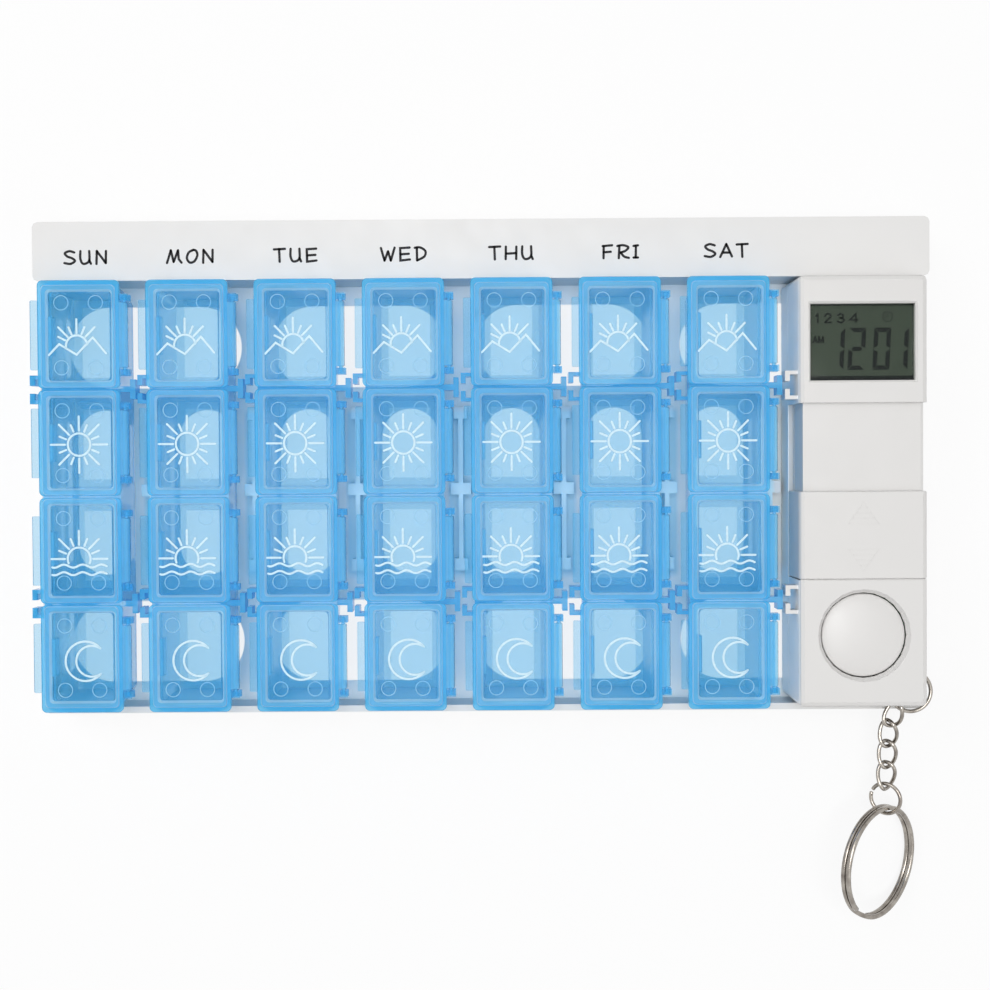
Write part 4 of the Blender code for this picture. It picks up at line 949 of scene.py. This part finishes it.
SMALL = {
    "1": [[(0.2, 0.75), (0.55, 1.0), (0.55, 0.0)]],
    "2": [curve_points([(0.02, 0.75), (0.3, 1.0), (0.8, 0.95), (0.9, 0.68), (0.45, 0.33), (0.02, 0.02)]),
          [(0.02, 0.02), (1.0, 0.02)]],
    "3": [curve_points([(0.05, 0.86), (0.5, 1.0), (0.9, 0.8), (0.72, 0.55), (0.36, 0.52)]),
          curve_points([(0.36, 0.52), (0.8, 0.5), (0.98, 0.25), (0.6, 0.0), (0.02, 0.12)])],
    "4": [[(0.72, 0.0), (0.72, 1.0), (0.0, 0.3), (1.0, 0.3)]],
    "A": [[(0.0, 0.0), (0.5, 1.0), (1.0, 0.0)], [(0.2, 0.32), (0.8, 0.32)]],
    "M": [[(0.0, 0.0), (0.05, 1.0)], [(0.05, 1.0), (0.5, 0.1), (0.95, 1.0)], [(0.95, 1.0), (1.0, 0.0)]],
}
# Each small mark's letter, left end, foot, width, height and stroke
SMALL_MARKS = (
    ("1", 81.75, 34.9, 1.3, 2.1, 0.44),
    ("2", 84.15, 34.9, 1.6, 2.1, 0.44),
    ("3", 87.25, 34.9, 1.6, 2.1, 0.44),
    ("4", 90.3, 34.9, 2.0, 2.1, 0.44),
    ("A", 81.3, 30.0, 1.0, 1.5, 0.38),
    ("M", 82.65, 30.0, 1.15, 1.5, 0.38),
)
CLOCK = (99.5, 36.3)
CLOCK_RADIUS = 1.2
CLOCK_RIM = 0.17
CLOCK_HAND = 0.16
builder = bmesh.new()
for letter, left, foot, width, height, stroke in SMALL_MARKS:
    for points in SMALL[letter]:
        spots = [(left + x * width, foot + y * height) for x, y in points]
        ribbon(builder, spots, stroke, MARK_LOW, MARK_HIGH, cap_steps=3)
ribbon(builder, circle_points(CLOCK, CLOCK_RADIUS), CLOCK_RIM, MARK_LOW, MARK_HIGH, closed=True)
ribbon(builder, [(CLOCK[0], CLOCK[1] + 0.75), CLOCK], CLOCK_HAND, MARK_LOW, MARK_HIGH, cap_steps=3)
ribbon(builder, [CLOCK, (CLOCK[0] - 0.55, CLOCK[1])], CLOCK_HAND, MARK_LOW, MARK_HIGH, cap_steps=3)
place("display_marks", finish_mesh("display_marks", builder, [lcd_ink]), "timer", "display_glass")

# The dark band along the window's foot and the thin dark lines along its sides and top are painted shadow,
# cast by the window's inner edges onto the display.
WINDOW_LEFT, WINDOW_FOOT = 80.35, 20.8
WINDOW_RIGHT, WINDOW_TOP = 105.8, 39.3
FOOT_BAND = 1.05
SIDE_LINE = 0.28
TOP_LINE = 0.3


def plate_outline(left, right, foot, top):
    return [(left, foot), (right, foot), (right, top), (left, top)]


builder = bmesh.new()
band_top = WINDOW_FOOT + FOOT_BAND
slab(builder, plate_outline(WINDOW_LEFT, WINDOW_RIGHT, WINDOW_FOOT, band_top), MARK_LOW, MARK_HIGH + 0.05)
for left in (WINDOW_LEFT, WINDOW_RIGHT - SIDE_LINE):
    slab(builder, plate_outline(left, left + SIDE_LINE, band_top, WINDOW_TOP), MARK_LOW, MARK_HIGH)
top_line = plate_outline(
    WINDOW_LEFT + SIDE_LINE, WINDOW_RIGHT - SIDE_LINE, WINDOW_TOP - TOP_LINE, WINDOW_TOP,
)
slab(builder, top_line, MARK_LOW, MARK_HIGH)
place("display_painted_shadow", finish_mesh("display_painted_shadow", builder, [lcd_ink]), "timer", "display_glass")


# Alarm button and the ring round it

ALARM_X = 93.3
ALARM_Y = -41.6
ALARM_RADIUS = 10.2
ALARM_TOP = 25.85
STEM_RADIUS = 3.0
STEM_FOOT = 21.4
SKIRT_FOOT = 22.9
DOME_FOOT = 24.2
DOME_STEPS = 18
WELL_RADIUS = 11.65
WELL_FLOOR = 24.8
# The ring's section: radius, and height above the well's floor
WELL_RING = (
    (10.5, 0.03), (WELL_RADIUS - 0.05, 0.03), (WELL_RADIUS - 0.05, 0.95), (WELL_RADIUS - 0.25, 0.7),
    (11.1, 0.25), (10.7, 0.12), (10.5, 0.1), (10.5, 0.03),
)


def lathe(name, profile, finish, sides=128, angle=40.0):
    """A closed solid of revolution about Z, from (radius, height) points in millimetres."""
    builder = bmesh.new()
    loops = []
    for radius, height in profile:
        ring = circle_points((0.0, 0.0), radius, sides)
        loops.append([builder.verts.new((x * MM, y * MM, height * MM)) for x, y in ring])
    for first, second in zip(loops, loops[1:]):
        bridge(builder, first, second)
    if profile[0] == profile[-1]:
        bmesh.ops.remove_doubles(builder, verts=builder.verts, dist=0.0000001)
    else:
        cap(builder, loops[0])
        cap(builder, loops[-1])
    return finish_mesh(name, builder, [finish], angle=angle)


dome = [
    (STEM_RADIUS, STEM_FOOT), (STEM_RADIUS, SKIRT_FOOT), (ALARM_RADIUS - 0.05, SKIRT_FOOT),
    (ALARM_RADIUS, SKIRT_FOOT + 0.1), (ALARM_RADIUS, DOME_FOOT - 0.05),
]
for step in range(1, DOME_STEPS + 1):
    share = step / DOME_STEPS
    rise = (ALARM_TOP - DOME_FOOT) * math.sin(share * math.pi / 2) ** 0.7
    dome.append((ALARM_RADIUS * (1 - share ** 1.6) + 0.02, DOME_FOOT + rise))
# The darker ring in the well's groove is painted shade.
ring = [(radius, WELL_FLOOR + height) for radius, height in WELL_RING]
alarm_spot = (ALARM_X * MM, ALARM_Y * MM, 0.0)
place("alarm_dome", lathe("alarm_dome", dome, button_white), "alarm_button", "white_plastic", alarm_spot,
      "alarm_button")
place("alarm_well", lathe("alarm_well", ring, well_painted_shade), "timer", "white_plastic", alarm_spot)


# Arrows on the slide cover

COVER_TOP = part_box("slide_cover")[1].z / MM
ARROW_FOOT = COVER_TOP - 0.05
ARROW_TOP = COVER_TOP + 0.09
ARROW_LINE = 0.26
ARROW_X = 93.14
ARROW_HALF = 3.72
ARROW_ENDS = ((-8.96, -14.2), (-25.7, -20.55))
builder = bmesh.new()
for tip, base in ARROW_ENDS:
    chevron = [(ARROW_X - ARROW_HALF, base), (ARROW_X, tip), (ARROW_X + ARROW_HALF, base)]
    ribbon(builder, chevron, ARROW_LINE, ARROW_FOOT, ARROW_TOP)
    for share in (0.0, 0.25, 0.5, 0.75):
        reach = ARROW_HALF * (1 - share) - 0.25
        y = base + (tip - base) * share
        ribbon(builder, [(ARROW_X - reach, y), (ARROW_X + reach, y)], ARROW_LINE, ARROW_FOOT, ARROW_TOP)
place("cover_arrows", finish_mesh("cover_arrows", builder, [cover_white]), "slide_cover", "white_plastic")


# The shadow line under the slide cover, nearly closed by a lip of the shell

COVER_LIP = ((77.8, -28.08, 24.6), (108.5, -27.82, 25.72))
builder = bmesh.new()
solid_box(builder, *COVER_LIP, 0.05)
place("cover_lip", finish_mesh("cover_lip", builder, [cover_white]), "timer", "white_plastic")


# Key chain

WIRE = 1.0
LINK_GAP = 0.35
RING_RADIUS = 5.1
RING_CENTRE = Vector((107.1, -56.7, 16.5))
HOOK_ANGLE = 40.0
LINK_LENGTH = 8.0
LINK_WIDTH = 5.2
LINK_TWIST = -45.0
LINK_SQUARENESS = 2.6
LINK_TURNS = ((-18.0, 20.0, -30.0), (1.0, 14.0, -20.0), (0.0, 9.0, -10.0), (-2.0, 6.0, 0.0))
JUMP_RADIUS = 3.85
JUMP_TURNS = (2.0, 3.0, -35.0)
JUMP_START = 162.0
JUMP_SWEEP = 346.0
SPLIT_RADIUS = 14.0
SPLIT_PITCH = 1.4
SPLIT_GAP = 0.5
SPLIT_WIRE = 1.2
SPLIT_HALF_HEIGHT = 0.58
SPLIT_TURNS = (-8.0, -1.0, 42.0)
SPLIT_START = 16.0
SPLIT_JOG = 30.0
SPLIT_TURN = -110.0


def travel_frame(heading, slope, roll):
    turn = Matrix.Rotation(math.radians(heading), 4, "Z")
    drop = Matrix.Rotation(math.radians(slope), 4, "X")
    return turn @ drop @ Matrix.Rotation(math.radians(roll), 4, "Y")


def superellipse(turn, power):
    """Cosine and sine of a turn, on a circle that the power makes squarer."""
    return [math.copysign(abs(value) ** power, value) for value in (math.cos(turn), math.sin(turn))]


def sweep_wire(name, points, radial, axial, closed, sides=14, square=2.0):
    """A wire of rounded section along points in millimetres. Its radial side faces the points' middle."""
    builder = bmesh.new()
    spots = [Vector(point) for point in points]
    count = len(spots)
    middle = sum(spots, Vector()) / count
    sections = []
    for index, spot in enumerate(spots):
        before = spots[index - 1] if closed or index else spot
        after = spots[(index + 1) % count] if closed or index < count - 1 else spot
        along = (after - before).normalized()
        outward = spot - middle
        outward = (outward - along * outward.dot(along)).normalized()
        sections.append((spot, outward, along.cross(outward), along))
    stations = [(section, 1.0, 0.0) for section in sections]
    if not closed:
        rounding = ((0.45, 0.3), (0.85, 0.15))
        first = [(sections[0], size, -push) for size, push in rounding]
        last = [(sections[-1], size, push) for size, push in reversed(rounding)]
        stations = first + stations + last
    rings = []
    for (spot, outward, across, along), size, push in stations:
        ring = []
        for step in range(sides):
            out, side = superellipse(2 * math.pi * step / sides, 2 / square)
            point = spot + (outward * out * radial + across * side * axial) * size + along * push * radial
            ring.append(builder.verts.new(point * MM))
        rings.append(ring)
    if closed:
        for first, second in zip(rings, rings[1:] + rings[:1]):
            bridge(builder, first, second)
    else:
        closed_skin(builder, rings)
    return finish_mesh(name, builder, [nickel], angle=60.0)


def hang(name, mesh, pivot, rotation):
    made = place(f"{name}_metal", mesh, name, "nickel", stands_for=name)
    made.matrix_world = Matrix.Translation(pivot * MM) @ rotation
    bpy.context.view_layer.update()


def link_points(count=48):
    """A link's middle line, twisted along its length."""
    half_length = (LINK_LENGTH - WIRE) / 2
    half_width = (LINK_WIDTH - WIRE) / 2
    found = []
    for index in range(count):
        out, along = superellipse(2 * math.pi * index / count, 2 / LINK_SQUARENESS)
        across = half_width * out
        twist = math.radians(-LINK_TWIST * along)
        shift = half_length * (along - 1) + WIRE + LINK_GAP
        found.append((across * math.cos(twist), shift, across * math.sin(twist)))
    return found


def split_points(count=144):
    """The split ring's middle line: two coils, with a short jog from one to the other."""
    found = []
    start, end = SPLIT_START, 720.0 - SPLIT_START
    for index in range(count + 1):
        angle = start + (end - start) * index / count
        ramp = min(max((angle - 360.0 + SPLIT_JOG / 2) / SPLIT_JOG, 0.0), 1.0)
        height = SPLIT_PITCH * (ramp * ramp * (3 - 2 * ramp) - 0.5)
        turn = math.radians(angle + SPLIT_TURN)
        found.append((SPLIT_RADIUS * math.cos(turn), SPLIT_RADIUS * math.sin(turn) - SPLIT_RADIUS, height))
    return found


def flat_ring(points):
    return [(x, y, 0.0) for x, y in points]


half_wire = WIRE / 2
corner_points = flat_ring(circle_points((0.0, 0.0), RING_RADIUS, 72))
corner_ring = sweep_wire("corner_ring", corner_points, half_wire, half_wire, True)
hang("corner_ring", corner_ring, RING_CENTRE, Matrix.Identity(4))
hook = math.radians(HOOK_ANGLE)
pivot = RING_CENTRE + RING_RADIUS * Vector((-math.sin(hook), -math.cos(hook), 0.0))
step_on = Vector((0.0, WIRE + LINK_GAP - (LINK_LENGTH - WIRE), 0.0))
link = sweep_wire("chain_link", link_points(), half_wire, half_wire, True)
for number, turns in enumerate(LINK_TURNS, start=1):
    rotation = travel_frame(*turns)
    hang(f"chain_link_{number}", link, pivot, rotation)
    pivot = pivot + rotation.to_3x3() @ step_on
rotation = travel_frame(*JUMP_TURNS)
jump_shift = WIRE + LINK_GAP - JUMP_RADIUS
jump_points = flat_ring(arc_points((0.0, jump_shift), JUMP_RADIUS, JUMP_START, JUMP_START + JUMP_SWEEP, 60))
hang("jump_ring", sweep_wire("jump_ring", jump_points, half_wire, half_wire, False), pivot, rotation)
inner_side = jump_shift - JUMP_RADIUS + half_wire + SPLIT_GAP + SPLIT_WIRE / 2
near_point = pivot + rotation.to_3x3() @ Vector((0.0, inner_side, 0.0))
split_ring = sweep_wire("split_ring", split_points(), SPLIT_WIRE / 2, SPLIT_HALF_HEIGHT, False, square=2.8)
hang("split_ring", split_ring, near_point, travel_frame(*SPLIT_TURNS))


# Floor, light and camera


def backdrop_share(tree):
    """1 where the backdrop is seen directly, by reflection or through something clear."""
    rays = add(tree, "ShaderNodeLightPath").outputs
    return highest(tree, rays["Is Camera Ray"], rays["Is Glossy Ray"], rays["Is Transmission Ray"])


FLOOR_HALF = 3.0
FLOOR_Z = -0.0001
FLOOR_GLOW = 0.8
WORLD_LIGHT = 0.38
# Each lamp's name, place, size and power
LAMPS = (
    ("overhead", (-0.05, 0.05, 1.4), 0.7, 10.5),
    ("key", (-0.6, 0.45, 0.9), 0.5, 2.0),
    ("fill", (0.7, -0.5, 0.9), 0.7, 1.0),
)
CAMERA_LENS = 52.617
CAMERA_PLACE = (0.004455, 0.000167, 0.378621)
CAMERA_TURNS = (-1.11555, 0.18172, -0.36219)
floor_mesh = bpy.data.meshes.new("floor")
corners = [(-FLOOR_HALF, -FLOOR_HALF, FLOOR_Z), (FLOOR_HALF, -FLOOR_HALF, FLOOR_Z),
           (FLOOR_HALF, FLOOR_HALF, FLOOR_Z), (-FLOOR_HALF, FLOOR_HALF, FLOOR_Z)]
floor_mesh.from_pydata(corners, [], [(0, 1, 2, 3)])
floor = bpy.data.objects.new("floor", floor_mesh)
bpy.context.scene.collection.objects.link(floor)
paper, tree = node_tree("paper")
matte = add(tree, "ShaderNodeBsdfDiffuse", Color=(0.9, 0.9, 0.9))
lit = add(tree, "ShaderNodeEmission", Color=(1.0, 1.0, 1.0), Strength=1.0)
share = times(tree, backdrop_share(tree), FLOOR_GLOW)
floor_mesh.materials.append(finished(paper, tree, mix_shaders(tree, share, matte, lit)))

world = bpy.data.worlds.new("studio")
world.use_nodes = True
bpy.context.scene.world = world
tree = world.node_tree
tree.nodes.clear()
strength = spread(tree, backdrop_share(tree), WORLD_LIGHT, 1.0, 0.0, 1.0)
sky = add(tree, "ShaderNodeBackground", Color=(1.0, 1.0, 1.0), Strength=strength)
add(tree, "ShaderNodeOutputWorld", Surface=sky.outputs[0])


def soft_lamp(name, location, size, power):
    lamp = bpy.data.lights.new(name, "AREA")
    lamp.shape = "SQUARE"
    lamp.size = size
    lamp.energy = power
    made = bpy.data.objects.new(name, lamp)
    made.location = location
    made.rotation_euler = (-Vector(location)).to_track_quat("-Z", "Y").to_euler()
    bpy.context.scene.collection.objects.link(made)


for name, location, size, power in LAMPS:
    soft_lamp(name, location, size, power)

camera_data = bpy.data.cameras.new("camera")
camera_data.lens = CAMERA_LENS
camera_data.sensor_width = 36.0
camera_data.clip_start = 0.01
camera = bpy.data.objects.new("camera", camera_data)
camera.location = CAMERA_PLACE
camera.rotation_euler = [math.radians(angle) for angle in CAMERA_TURNS]
bpy.context.scene.collection.objects.link(camera)
bpy.context.scene.camera = camera
bpy.context.scene.view_settings.view_transform = "Standard"
bpy.context.scene.cycles.transparent_max_bounces = 32
